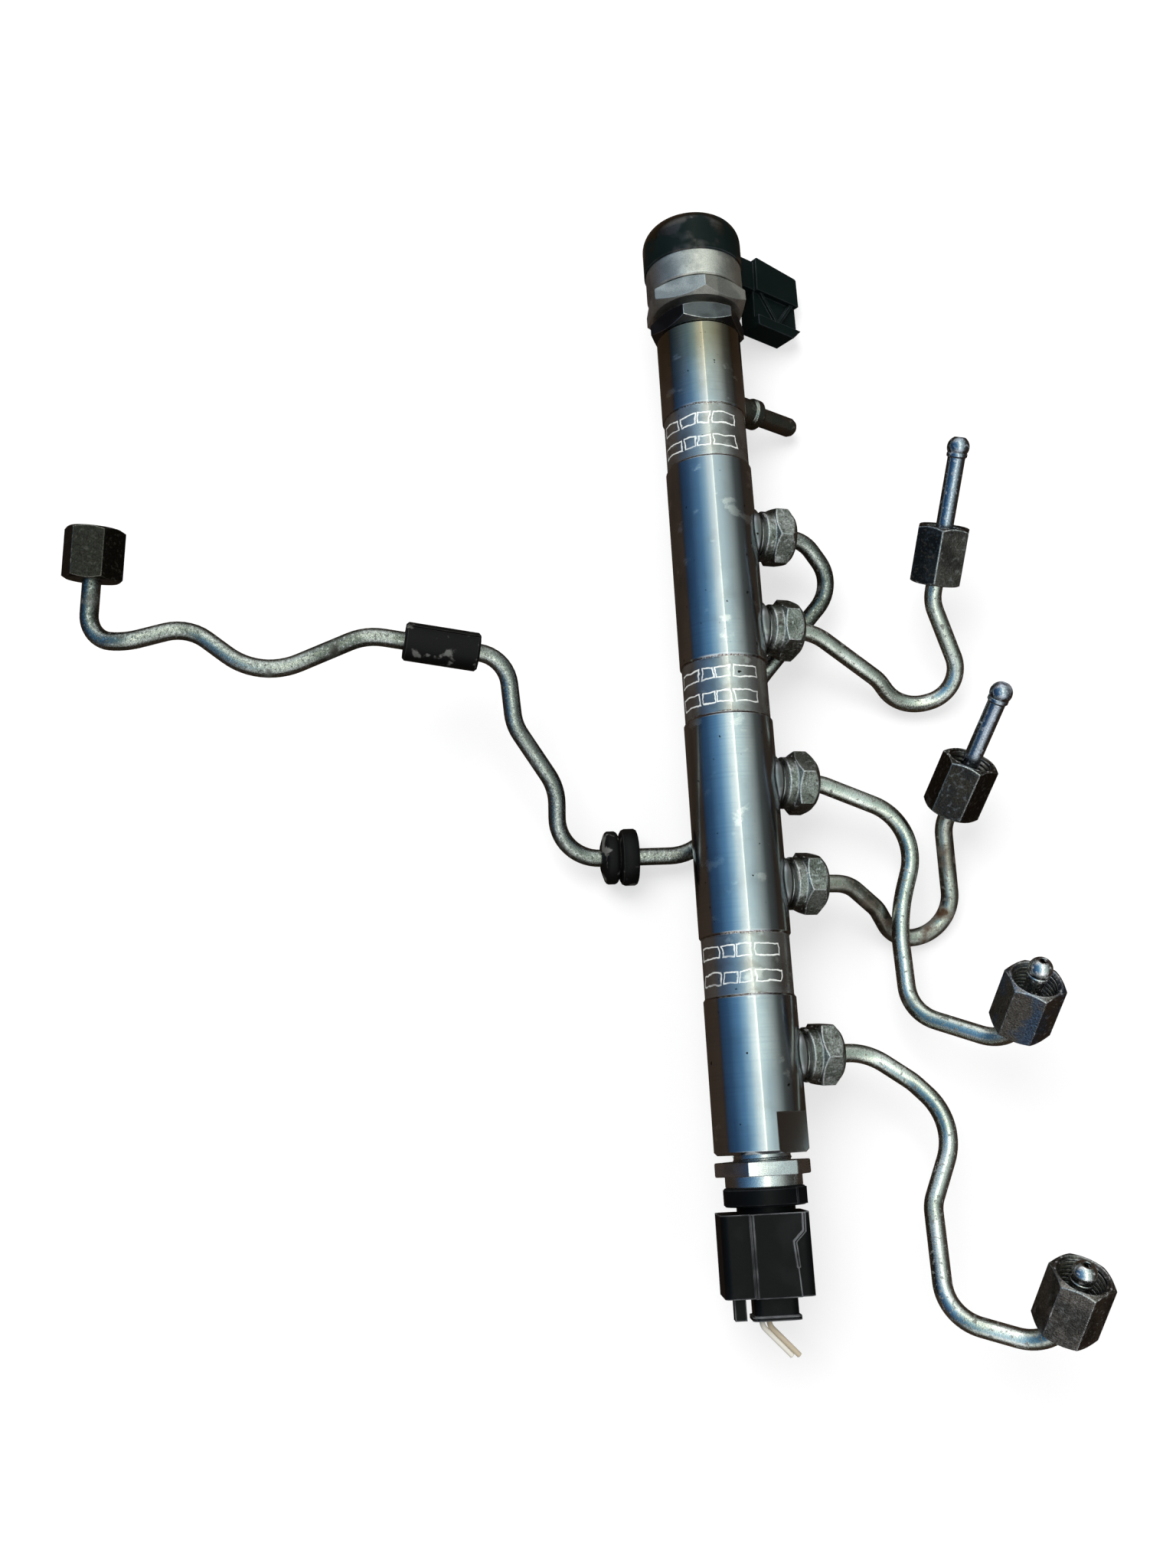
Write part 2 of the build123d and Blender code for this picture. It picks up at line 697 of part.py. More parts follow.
def make_sensor_housing():
    """The black moulding of the sensor: a flange with a key and the round socket neck."""
    down = on_rail(0, Vector(0, -1, 0))
    _, _, head, neck = sensor_stations()
    radius = sensor_head_diameter / 2
    end = neck - sensor_neck_length
    housing = turned([(-head, radius - 0.6), (-head + 0.6, radius), (-neck - 0.6, radius), (-neck, radius - 0.6),
                      (-neck, sensor_neck_diameter / 2), (-end - 0.5, sensor_neck_diameter / 2),
                      (-end, sensor_neck_diameter / 2 - 0.5)], down)
    housing += down * (Rot(0, 0, -55) * Pos(radius - 1.5, 0, -head + 0.3) * Box(
        3.4, 6.0, sensor_head_height - 0.6, align=(Align.CENTER, Align.CENTER, Align.MIN)))
    socket = sensor_neck_diameter / 2 - sensor_neck_wall
    housing -= bore(-neck + 3, -end + 1, socket, down)
    for pin in sensor_pin_blocks():
        housing -= pin
    return housing


def sensor_pin_blocks():
    _, _, _, neck = sensor_stations()
    half = terminal_width / 2
    block = Box(terminal_width, 10.0, terminal_width)
    return [Pos(x, neck - 5.5, 0) * block for x in (-3.2, 0, 3.2)]


def make_sensor_pins():
    return Compound(children=sensor_pin_blocks())


plug_top = sensor_stations()[3] - plug_gap
plug_end = plug_top - plug_length


def make_plug_housing():
    """The harness plug: a box over the sensor neck with a raised panel and a tail for the wires."""
    down = on_rail(0, Vector(0, -1, 0))
    across = Plane(origin=(0, 0, 0), x_dir=(1, 0, 0), z_dir=(0, -1, 0))
    front = plug_thickness / 2
    outline = Pos(plug_shift, 0, 0) * RectangleRounded(plug_width, plug_thickness, plug_corner)
    body = extrude(across.offset(-plug_top) * outline, plug_length)
    tail = Pos(plug_tail_place, 0, 0) * RectangleRounded(plug_tail_width, plug_tail_thickness, plug_corner)
    lip = Pos(plug_tail_place, 0, 0) * RectangleRounded(
        plug_tail_width + 1.4, plug_tail_thickness + 1.4, plug_corner)
    body += extrude(across.offset(-plug_end) * tail, plug_tail_length)
    body += extrude(across.offset(-plug_end + plug_tail_length - 1.2) * lip, 1.2)
    body += Pos(plug_tab_place, plug_end - 2.8, 2) * Box(3.6, 8, 6)
    body += plug_panel(front)
    neck_end = sensor_stations()[3] - sensor_neck_length
    body -= bore(-plug_top - 1, -neck_end + 0.3, sensor_neck_diameter / 2 + 0.3, down)
    for x in wire_places():
        body -= bore(-neck_end, -plug_end + plug_tail_length + 1, wire_diameter / 2 + press_gap,
                     frame_at(Vector(x, 0, 0), Vector(0, -1, 0), Vector(0, 0, 1)))
    return body


def plug_panel(front):
    """The raised panel on the wide face, with a straight rib on its left and a stepped rib on its right."""
    step = [(9.9, plug_top), (9.7, plug_top - 5.5), (6.6, plug_top - 8.5), (7.2, plug_top - 16.0)]
    left = plug_panel_left
    outline = Polyline((left, plug_top), *step, (7.6, plug_end), (left, plug_end), close=True)
    panel = Pos(0, 0, front - 1) * extrude(make_face(outline), 1 + plug_panel_height)
    straight = Line((left, plug_top), (left, plug_end))
    room = Pos(0, (plug_top + plug_end) / 2, 0) * Box(2 * plug_width, plug_length, 2 * plug_thickness)
    for line in (straight, Polyline(*step)):
        rib = Pos(0, 0, front - 1) * extrude(trace(line, plug_rib), 1.5 + plug_panel_height)
        panel += rib & room
    return panel


def wire_places():
    return [wire_middle - wire_spacing / 2, wire_middle + wire_spacing / 2]


def make_wire(index):
    """One cut wire tail, from inside the plug to its bare end."""
    x = wire_places()[index]
    inside = plug_end + 4
    outside = plug_end - plug_tail_length
    points = [(x, inside, 0), (x, outside - 1.9, 0), (x + 9.0, outside - 11.5, -5.0)]
    path = FilletPolyline(*points, radius=3)
    return sweep(Plane(origin=points[0], z_dir=(0, -1, 0)) * Circle(wire_diameter / 2), path=path)


def collect():
    """Every piece of the rail with its node name."""
    pieces = {
        "rail_body": make_rail_body(),
        "return_nipple": make_return_nipple(),
        "feed_pipe": make_feed_pipe(),
        "feed_nut": make_free_nut(feed_middle, feed_axis, feed_nut_length, feed_nut_turn),
        "feed_thrust_sleeve": make_free_sleeve(feed_middle, feed_axis, feed_thrust_length, feed_nut_length),
        "pipe_grommet": make_pipe_grommet(),
        "pipe_damper": make_pipe_damper(),
        "valve_lock_nut": make_valve_lock_nut(),
        "valve_body": make_valve_body(),
        "valve_seat": make_valve_seat(),
        "valve_ball": make_valve_ball(),
        "valve_armature": make_valve_armature(),
        "valve_spring": make_valve_spring(),
        "valve_coil": make_valve_coil(),
        "valve_o_ring": make_valve_o_ring(),
        "valve_cap": make_valve_cap(),
        "valve_terminals": make_valve_terminals(),
        "sensor_body": make_sensor_body(),
        "sensor_housing": make_sensor_housing(),
        "sensor_pins": make_sensor_pins(),
        "plug_housing": make_plug_housing(),
    }
    for index in range(len(port_places)):
        pieces[f"rail_nut_{index + 1}"] = make_rail_nut(index)
        pieces[f"rail_thrust_sleeve_{index + 1}"] = make_rail_sleeve(index)
    for index in range(len(nut_middles)):
        middle, axis = nut_middles[index], nut_axes[index]
        pieces[f"injector_pipe_{index + 1}"] = make_injector_pipe(index)
        pieces[f"injector_nut_{index + 1}"] = make_free_nut(middle, axis, free_nut_length, nut_turns[index])
        pieces[f"injector_thrust_sleeve_{index + 1}"] = make_free_sleeve(
            middle, axis, free_thrust_length, free_nut_length)
    for index in range(2):
        pieces[f"wire_{index + 1}"] = make_wire(index)
    return pieces


os.makedirs("parts", exist_ok=True)
for name, piece in collect().items():
    export_step(piece, f"parts/{name}.step")
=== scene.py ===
import json
from math import cos, radians, tau

import bpy
from bpy.props import FloatProperty, FloatVectorProperty, PointerProperty
from mathutils import Matrix, Vector


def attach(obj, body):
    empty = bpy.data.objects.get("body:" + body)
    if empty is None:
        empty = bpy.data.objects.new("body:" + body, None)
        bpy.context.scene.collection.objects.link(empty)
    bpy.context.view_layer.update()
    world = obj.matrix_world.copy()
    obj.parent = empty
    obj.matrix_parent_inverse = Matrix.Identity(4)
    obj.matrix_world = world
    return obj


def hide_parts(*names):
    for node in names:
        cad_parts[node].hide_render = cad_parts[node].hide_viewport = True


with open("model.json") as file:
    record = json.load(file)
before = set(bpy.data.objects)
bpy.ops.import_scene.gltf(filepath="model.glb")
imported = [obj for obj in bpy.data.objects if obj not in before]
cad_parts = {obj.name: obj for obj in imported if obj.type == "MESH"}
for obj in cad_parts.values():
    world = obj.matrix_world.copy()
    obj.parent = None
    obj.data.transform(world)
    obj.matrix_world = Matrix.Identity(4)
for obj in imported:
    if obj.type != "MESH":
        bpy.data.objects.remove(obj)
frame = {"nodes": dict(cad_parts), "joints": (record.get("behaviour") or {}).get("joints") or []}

bl_info = {
    "name": "Fuel rail looks",
    "version": (1, 0, 0),
    "blender": (4, 5, 0),
    "location": "View3D > Sidebar > Fuel rail",
    "description": "Finishes, threads, stage and camera for a common rail with its pipes",
    "category": "Object",
}

MM = 0.001
INJECTORS = range(1, 5)
PORTS = range(1, 6)
# The one injector pipe whose plating has gone brown, and the two that stand far out of their nuts.
STAINED_PIPE = 3
LONG_ENDS = (1, 3)

# Settings that many nodes share: a smooth step between two values, and a mix of colours.
SMOOTH = {"interpolation_type": "SMOOTHSTEP"}
COLOUR = {"data_type": "RGBA"}

# The camera was fitted to the photograph: focal length in pixels, place in metres and its three axes.
FOCAL_PIXELS = 1900
PHOTO_HEIGHT = 2048
SENSOR_HEIGHT = 24.0
CAMERA_PLACE = (-0.05448, -0.14564, 0.47241)
CAMERA_AXES = ((0.99865, -0.05186, 0.0), (0.05033, 0.96916, 0.24125), (-0.01251, -0.24093, 0.97046))

# Name, place in metres, power in watts and size in metres of each lamp.
LAMPS = (("key_light", (-0.35, 0.45, 1.3), 22.0, 1.0), ("fill_light", (0.9, -0.5, 0.9), 6.0, 1.2))
FLOOR_SIZE = 8

# The floor as the camera sees it, as the metal mirrors it and as it lights what is matt, and how much it glows.
FLOOR_PAPER, FLOOR_MIRRORED, FLOOR_BOUNCED = "#f3f3f3", "#392f27", "#959391"
FLOOR_GLOW = 0.62

# The white behind everything, and the strength of the light for what is matt and for what is bright.
BACKDROP = "#f9f9f9"
EVEN_LIGHT = 0.42
ROOM_LIGHT = 1.75
GLARE_LIGHT = 3.0

# What the metal sees round the rail's axis, as shares of a turn that starts below: dark floor, navy side, bright
# window overhead with its glare, grey wall and dark floor again. Beyond the rail's ends there is a plain wall.
GLARE_PLACE = 0.512
WALL_LOW, WALL_HIGH = "#1f1c1a", "#dfe4e5"
ROOM = ((0.0, "#2a1f19"), (0.15, "#2a211c"), (0.23, "#1c2838"), (0.32, "#284664"), (0.40, "#507a9c"),
        (0.45, "#90b4c6"), (0.495, "#e4f0ec"), (GLARE_PLACE, "#fffae4"), (0.54, "#c4dada"), (0.62, "#98a29e"),
        (0.68, "#474b49"), (0.78, "#231e1b"), (1.0, "#2a1f19"))

# The grommet's axis, from its face near the rail to its far face, and its outline: place along that axis and
# radius, all in millimetres.
GROMMET_LINE = ((-32.505, -49.5, -23.362), (-45.057, -49.5, -22.268))
GROMMET_PROFILE = ((0, 3.03), (0, 8.6), (0.3, 9.4), (1.1, 9.87), (4.4, 9.87), (5.4, 9.4), (5.9, 8.5), (6.1, 6.6),
                   (6.5, 6.6), (6.7, 8.0), (7.2, 8.8), (8.0, 9.2), (10.3, 9.2), (10.9, 8.9), (11.4, 8.2),
                   (12.1, 6.2), (12.6, 4.6), (12.6, 3.03))


def linear(text):
    """A colour of Blender's from an sRGB hex string."""
    parts = [int(text[i:i + 2], 16) / 255 for i in (1, 3, 5)]
    return tuple(p / 12.92 if p <= 0.04045 else ((p + 0.055) / 1.055) ** 2.4 for p in parts) + (1.0,)


def length(name, description, *default):
    """A property in metres: one number, or several side by side."""
    if len(default) == 1:
        return FloatProperty(name=name, description=description, default=default[0], unit="LENGTH", precision=5)
    return FloatVectorProperty(name=name, description=description, default=default, size=len(default),
                               unit="LENGTH", precision=5)


def angle(name, description, degrees):
    """A property that holds an angle."""
    return FloatProperty(name=name, description=description, default=radians(degrees), subtype="ANGLE")


def tint(name, description, text):
    """A property that holds a colour, from an sRGB hex string."""
    return FloatVectorProperty(name=name, description=description, default=linear(text), size=4, min=0.0, max=1.0,
                               subtype="COLOR")


class RailSizes(bpy.types.PropertyGroup):
    """Sizes in the frame of the CAD model, whose origin is in the middle clamp seat, with Y along the rail."""

    floor: length("Floor", "Height of the floor, just below the lowest piece", -0.0334)
    seat_radius: length("Seat radius", "Radius of the clamp seats", 0.0144)
    clamp_pitch: length("Clamp pitch", "Distance between the middles of two clamp seats", 0.0924)
    seat_half: length("Half seat", "Half width of a clamp seat along the rail", 0.0095)
    mark_row: length("Mark row", "Distance of a row of clamp marks from the middle of its seat", 0.0042)
    mark_middle: length("Mark middle", "Middle of the clamp marks, measured round the rail from its top", -0.00485)
    mark_height: length("Mark height", "Height of a clamp mark along the rail", 0.0037)
    mark_square: length("Short marks", "Distance of the short marks from the middle one, and their half width",
                        0.0026, 0.0022)
    mark_long: length("Long marks", "Distance of the long marks from the middle, and their half width",
                      0.0105, 0.0044)
    mark_line: length("Mark line", "Width of the line that outlines a clamp mark", 0.00042)
    tarnish: length("Tarnish", "Places along the rail where the tarnish starts and where it is full", 0.096, 0.132)
    port_places: length("Ports", "Places of the five ports along the rail", 0.0595, 0.0247, -0.0302, -0.0647,
                        -0.1208)
    port_dip: angle("Port dip", "Angle by which the ports point below the level", 16.0)
    stub_start: length("Stub thread", "Distance of the first turn of a port's thread from the rail's axis", 0.0155)
    union_bore: length("Nut bore", "Radius inside a union nut", 0.00705)
    thread_pitch: length("Thread pitch", "Distance between two turns of every thread", 0.0015)
    thread_depth: length("Thread depth", "Height of a turn of thread over its root", 0.00045)
    free_nut_length: length("Injector nut", "Length of an injector nut", 0.02)
    feed_nut_length: length("Feed nut", "Length of the feed nut", 0.017)
    nut_wall: length("Nut wall", "Wall behind the thread of a loose nut", 0.004)
    pipe_ahead: length("Pipe ahead", "Distance of each injector pipe's tip from the middle of its nut",
                       0.0401, 0.0175, 0.0386, 0.0137)
    bare_reach: length("Bare end", "Length of bare steel at the free end of each injector pipe",
                       0.038, 0.014, 0.036, 0.012)
    end_shank: length("Shank radius", "Radius of the threads that go into the rail's two ends", 0.009)
    valve_gap: length("Valve thread", "Place of the turn of thread beside the lock nut", 0.1416)
    cap_radius: length("Cap radius", "Radius of the valve's cap, within which old oil lies", 0.0182)
    sensor_gap: length("Sensor thread", "Place of the turn of thread beside the sensor", -0.1529)
    sensor_steps: length("Sensor steps", "Top and foot of the sensor's hexagon, and foot of its collar",
                         -0.1531, -0.1575, -0.1609)
    sensor_flats: length("Sensor flats", "Width across the flats of the sensor's hexagon", 0.027)
    sensor_corner: angle("Sensor turn", "Turn of the hexagon's corners round the rail's axis", 37.0)
    sensor_collar: length("Sensor collar", "Radius of the collar behind the hexagon", 0.01215)
    sensor_tip: length("Sensor tip", "Place of the sensor's inner end", -0.13502)


class RailColours(bpy.types.PropertyGroup):
    """Colours of the finishes, the dirt on them and the wear."""

    rail: tint("Turned steel", "Bright steel of the rail", "#c6c9cb")
    rail_second: tint("Turned steel, duller", "Hazy patches on the rail", "#abb0b5")
    seat: tint("Clamp seat", "Steel of the clamp seats", "#b3b2ad")
    seat_second: tint("Clamp seat, stained", "Stains on the clamp seats", "#8f887d")
    mark: tint("Clamp mark", "Lines that the clamps have rubbed, and pale scuffs", "#eef0ec")
    tarnish: tint("Tarnish", "Straw tarnish on the rail near the valve", "#84754f")
    # Oily brown-grey: oily grime on injector nut 3, and on the bosses also painted shade in the gap under the port
    # nuts.
    grime_and_boss_shade: tint("Port boss", "Oily dirt on the forged bosses", "#4a443c")
    nut: tint("Nut plating", "Zinc of the nuts on the ports", "#a9aca6")
    nut_second: tint("Nut plating, dull", "Dull patches on those nuts", "#7f837c")
    feed: tint("Feed pipe", "Darkened plating of the feed pipe", "#767b74")
    feed_second: tint("Feed pipe, bare", "Paler patches on the feed pipe", "#a8aca6")
    nut_worn: tint("Oxide, worn through", "Steel that shows through the black oxide", "#857d76")
    # A painted bluish reflection, laid in patches over injector nut 2.
    painted_blue_reflection: tint("Oxide, bluish", "Bluish sheen on injector nut 2", "#667a96")
    rough_oxide: tint("Rough oxide", "Greenish black of the feed nut", "#34332d")
    lock: tint("Lock nut", "Oiled steel of the lock nut", "#5c5e60")
    lock_second: tint("Lock nut, dull", "Darker patches on the lock nut", "#454648")
    rust: tint("Brown line", "Rusty line at the rims of the clamp seats", "#5d3f25")
    zinc: tint("Zinc", "Zinc plating of the injector pipes", "#e2e4de")
    zinc_second: tint("Zinc, greenish", "Greenish patches in the plating", "#c2c6bc")
    brushed: tint("Brushed steel", "Warm grey of the valve's body", "#d6d3cb")
    zinc_worn: tint("Zinc, worn", "Brownish grey of worn plating", "#8f8a80")
    bare: tint("Bare steel", "Bright steel on rubbed edges", "#dfe0e0")
    blued: tint("Blued steel", "Bluish bare steel", "#a7b0bb")
    soot: tint("Dark dirt", "Sooty dirt in hollows", "#231e19")
    brown: tint("Brown dirt", "Dried oil and rust", "#4a3524")
    oxide: tint("Black oxide", "Black oxide of the loose nuts", "#3d3b39")
    oxide_second: tint("Black oxide, grey", "Greyer patches in the oxide", "#5a5753")
    cap: tint("Valve cap", "Dark green plastic of the valve's cap", "#0b1413")
    oil: tint("Old oil", "Brown film of old oil on the cap", "#110c04")
    plastic: tint("Black plastic", "Plastic of the sensor and the plug", "#08090a")
    plastic_worn: tint("Plastic, rubbed", "Rubbed edges of the cap and the sensor", "#4a4d52")
    rib_worn: tint("Plastic, rubbed ribs", "Rubbed ribs of the plug", "#8a8d90")
    rubber: tint("Rubber", "Rubber of the grommet and the damping sleeve", "#0e0e0e")
    rubber_dust: tint("Rubber, dusty", "Dust on the edges of the rubber", "#3a3b38")
    scuff: tint("Scuff", "Pale scrapes on the rubber", "#8b8d88")
    wire_white: tint("White insulation", "Insulation of the first wire", "#d9d6cc")
    wire_cream: tint("Cream insulation", "Insulation of the second wire", "#b9ad97")
    copper: tint("Copper", "Enamelled copper of the valve's coil", "#b0683a")


def give(tree, socket, value):
    """Links a socket to a value that is a socket itself, and sets it to any other value."""
    if isinstance(value, bpy.types.NodeSocket):
        tree.links.new(value, socket)
    elif value is not None:
        socket.default_value = value


def node(tree, kind, *values, output=None, **settings):
    """Adds a node with its settings and gives its open inputs the values in order, where None leaves one as it is.

    Returns its open output, the one that output names, or a list where there are several.
    """
    made = tree.nodes.new("ShaderNode" + kind)
    for key, value in settings.items():
        setattr(made, key, value)
    for socket, value in zip([s for s in made.inputs if s.enabled], values):
        give(tree, socket, value)
    found = [s for s in made.outputs if s.enabled and output in (None, s.name)]
    return found[0] if len(found) == 1 else found


def grain(tree, where, size, detail, stretch=(1, 1, 1)):
    """A cloudy pattern whose features are about size millimetres, drawn out by stretch along each axis."""
    scale = [1 / (MM * size * s) for s in stretch]
    spread = node(tree, "VectorMath", where, scale, operation="MULTIPLY")
    return node(tree, "TexNoise", spread, 1.0, detail, output="Fac")


def edges(tree, radius):
    """A share that is 1 on edges within radius millimetres, and the normal with those edges rounded off."""
    rounded = node(tree, "Bevel", radius * MM, samples=4)
    flat = node(tree, "NewGeometry", output="Normal")
    same = node(tree, "VectorMath", rounded, flat, operation="DOT_PRODUCT")
    turned = node(tree, "Math", 1.0, same, operation="SUBTRACT")
    return node(tree, "MapRange", turned, 0.004, 0.05, **SMOOTH), rounded


def blank(name):
    """A new material with its node tree and the object coordinates in it."""
    material = bpy.data.materials.new(name)
    material.use_nodes = True
    tree = material.node_tree
    return material, tree, node(tree, "TexCoord", output="Object")


def shade(material, inputs):
    """Sets or links inputs of a material's Principled shader by their names."""
    tree = material.node_tree
    for name, value in inputs.items():
        give(tree, tree.nodes["Principled BSDF"].inputs[name], value)


def worn_metal(name, colour, second, dirt, bare, fine=0.35, patch=9.0, rough=0.34, dirty=0.6, speck=0.0,
               wear=1.0, relief=0.25, edge=0.35, mottle=0.25, fleck=0.0, end=None):
    """Metal with two tones in patches, fine grain, dark specks, dirt and bright rubbed edges.

    The sizes fine, patch and edge are in millimetres. Where end gives a place and a radius in metres and a colour,
    the metal within that radius is bare and polished.
    """
    # Patterns lie round 0.5: a step across it gives patches of equal share, and one above 0.6 leaves a few spots.
    material, tree, where = blank(name)
    broad = grain(tree, where, patch, 4)
    # Plating crystals and machining marks are finer than 0.1 mm. They are drawn coarser, so that they show.
    small = grain(tree, where, fine, 4)
    spots = grain(tree, where, fine * 3, 5)
    rubbed, normal = edges(tree, edge)
    uneven = node(tree, "MapRange", spots, 0.3, 0.6, wear * 0.35, wear, **SMOOTH)
    rubbed = node(tree, "Math", rubbed, uneven, operation="MULTIPLY", use_clamp=True)
    pits = node(tree, "MapRange", spots, 0.58, 0.66, 0.0, speck, **SMOOTH)
    grime = node(tree, "MapRange", grain(tree, where, patch * 0.7, 6), dirty, dirty + 0.14, **SMOOTH)
    grime = node(tree, "Math", grime, pits, operation="MAXIMUM")
    clouds = node(tree, "MapRange", broad, 0.42, 0.58, **SMOOTH)
    mottling = node(tree, "MapRange", small, 0.4, 0.62, 0.0, mottle, **SMOOTH)
    flecks = node(tree, "MapRange", spots, 0.34, 0.44, fleck, 0.0, **SMOOTH)
    tone = colour
    for share, over in ((clouds, second), (mottling, dirt), (flecks, bare), (grime, dirt), (rubbed, bare)):
        tone = node(tree, "Mix", share, tone, over, **COLOUR)
    gloss = node(tree, "Math", small, 0.3, rough - 0.15, operation="MULTIPLY_ADD")
    gloss = node(tree, "Math", grime, 0.3, gloss, operation="MULTIPLY_ADD")
    gloss = node(tree, "Math", rubbed, -0.12, gloss, operation="MULTIPLY_ADD", use_clamp=True)
    if end:
        place, radius, polish = end
        off = node(tree, "VectorMath", where, place, operation="DISTANCE")
        share = node(tree, "MapRange", off, radius - 2 * MM, radius + 2 * MM, 1.0, 0.0, **SMOOTH)
        stains = node(tree, "MapRange", small, 0.3, 0.7, 0.0, 0.35, **SMOOTH)
        tone = node(tree, "Mix", share, tone, node(tree, "Mix", stains, polish, dirt, **COLOUR), **COLOUR)
        gloss = node(tree, "Mix", share, gloss, 0.16)
    height = node(tree, "Math", small, pits, operation="ADD")
    bump = node(tree, "Bump", relief, 0.2 * MM, None, height, normal)
    metal = node(tree, "MapRange", grime, 0.0, 1.0, 1.0, 0.35, **SMOOTH)
    shade(material, {"Base Color": tone, "Roughness": gloss, "Normal": bump, "Metallic": metal})
    return material


def clamp_marks(tree, sizes, seat, around, waver):
    """Distance in millimetres from the outlines of the marks that the clamps' teeth have rubbed on their seats.

    Each seat has two rows of marks. A row is the same on both sides of its middle, and waver bends its lines.
    """
    turn = node(tree, "Math", waver, 4.0, around, operation="MULTIPLY_ADD")
    turn = node(tree, "Math", turn, sizes.mark_middle / MM + 2.0, operation="SUBTRACT")
    turn = node(tree, "Math", turn, operation="ABSOLUTE")
    row = node(tree, "Math", waver, 2.4, seat, operation="MULTIPLY_ADD")
    row = node(tree, "Math", row, sizes.mark_row / MM + 1.2, operation="SUBTRACT")
    row = node(tree, "Math", row, operation="ABSOLUTE")
    row = node(tree, "Math", row, sizes.mark_height / MM / 2, operation="SUBTRACT")
    outlines = []
    for middle, half in (sizes.mark_square, sizes.mark_long):
        side = node(tree, "Math", turn, middle / MM, operation="SUBTRACT")
        side = node(tree, "Math", side, operation="ABSOLUTE")
        side = node(tree, "Math", side, half / MM, operation="SUBTRACT")
        outline = node(tree, "Math", side, row, operation="MAXIMUM")
        outlines.append(node(tree, "Math", outline, operation="ABSOLUTE"))
    return node(tree, "Math", *outlines, operation="MINIMUM")


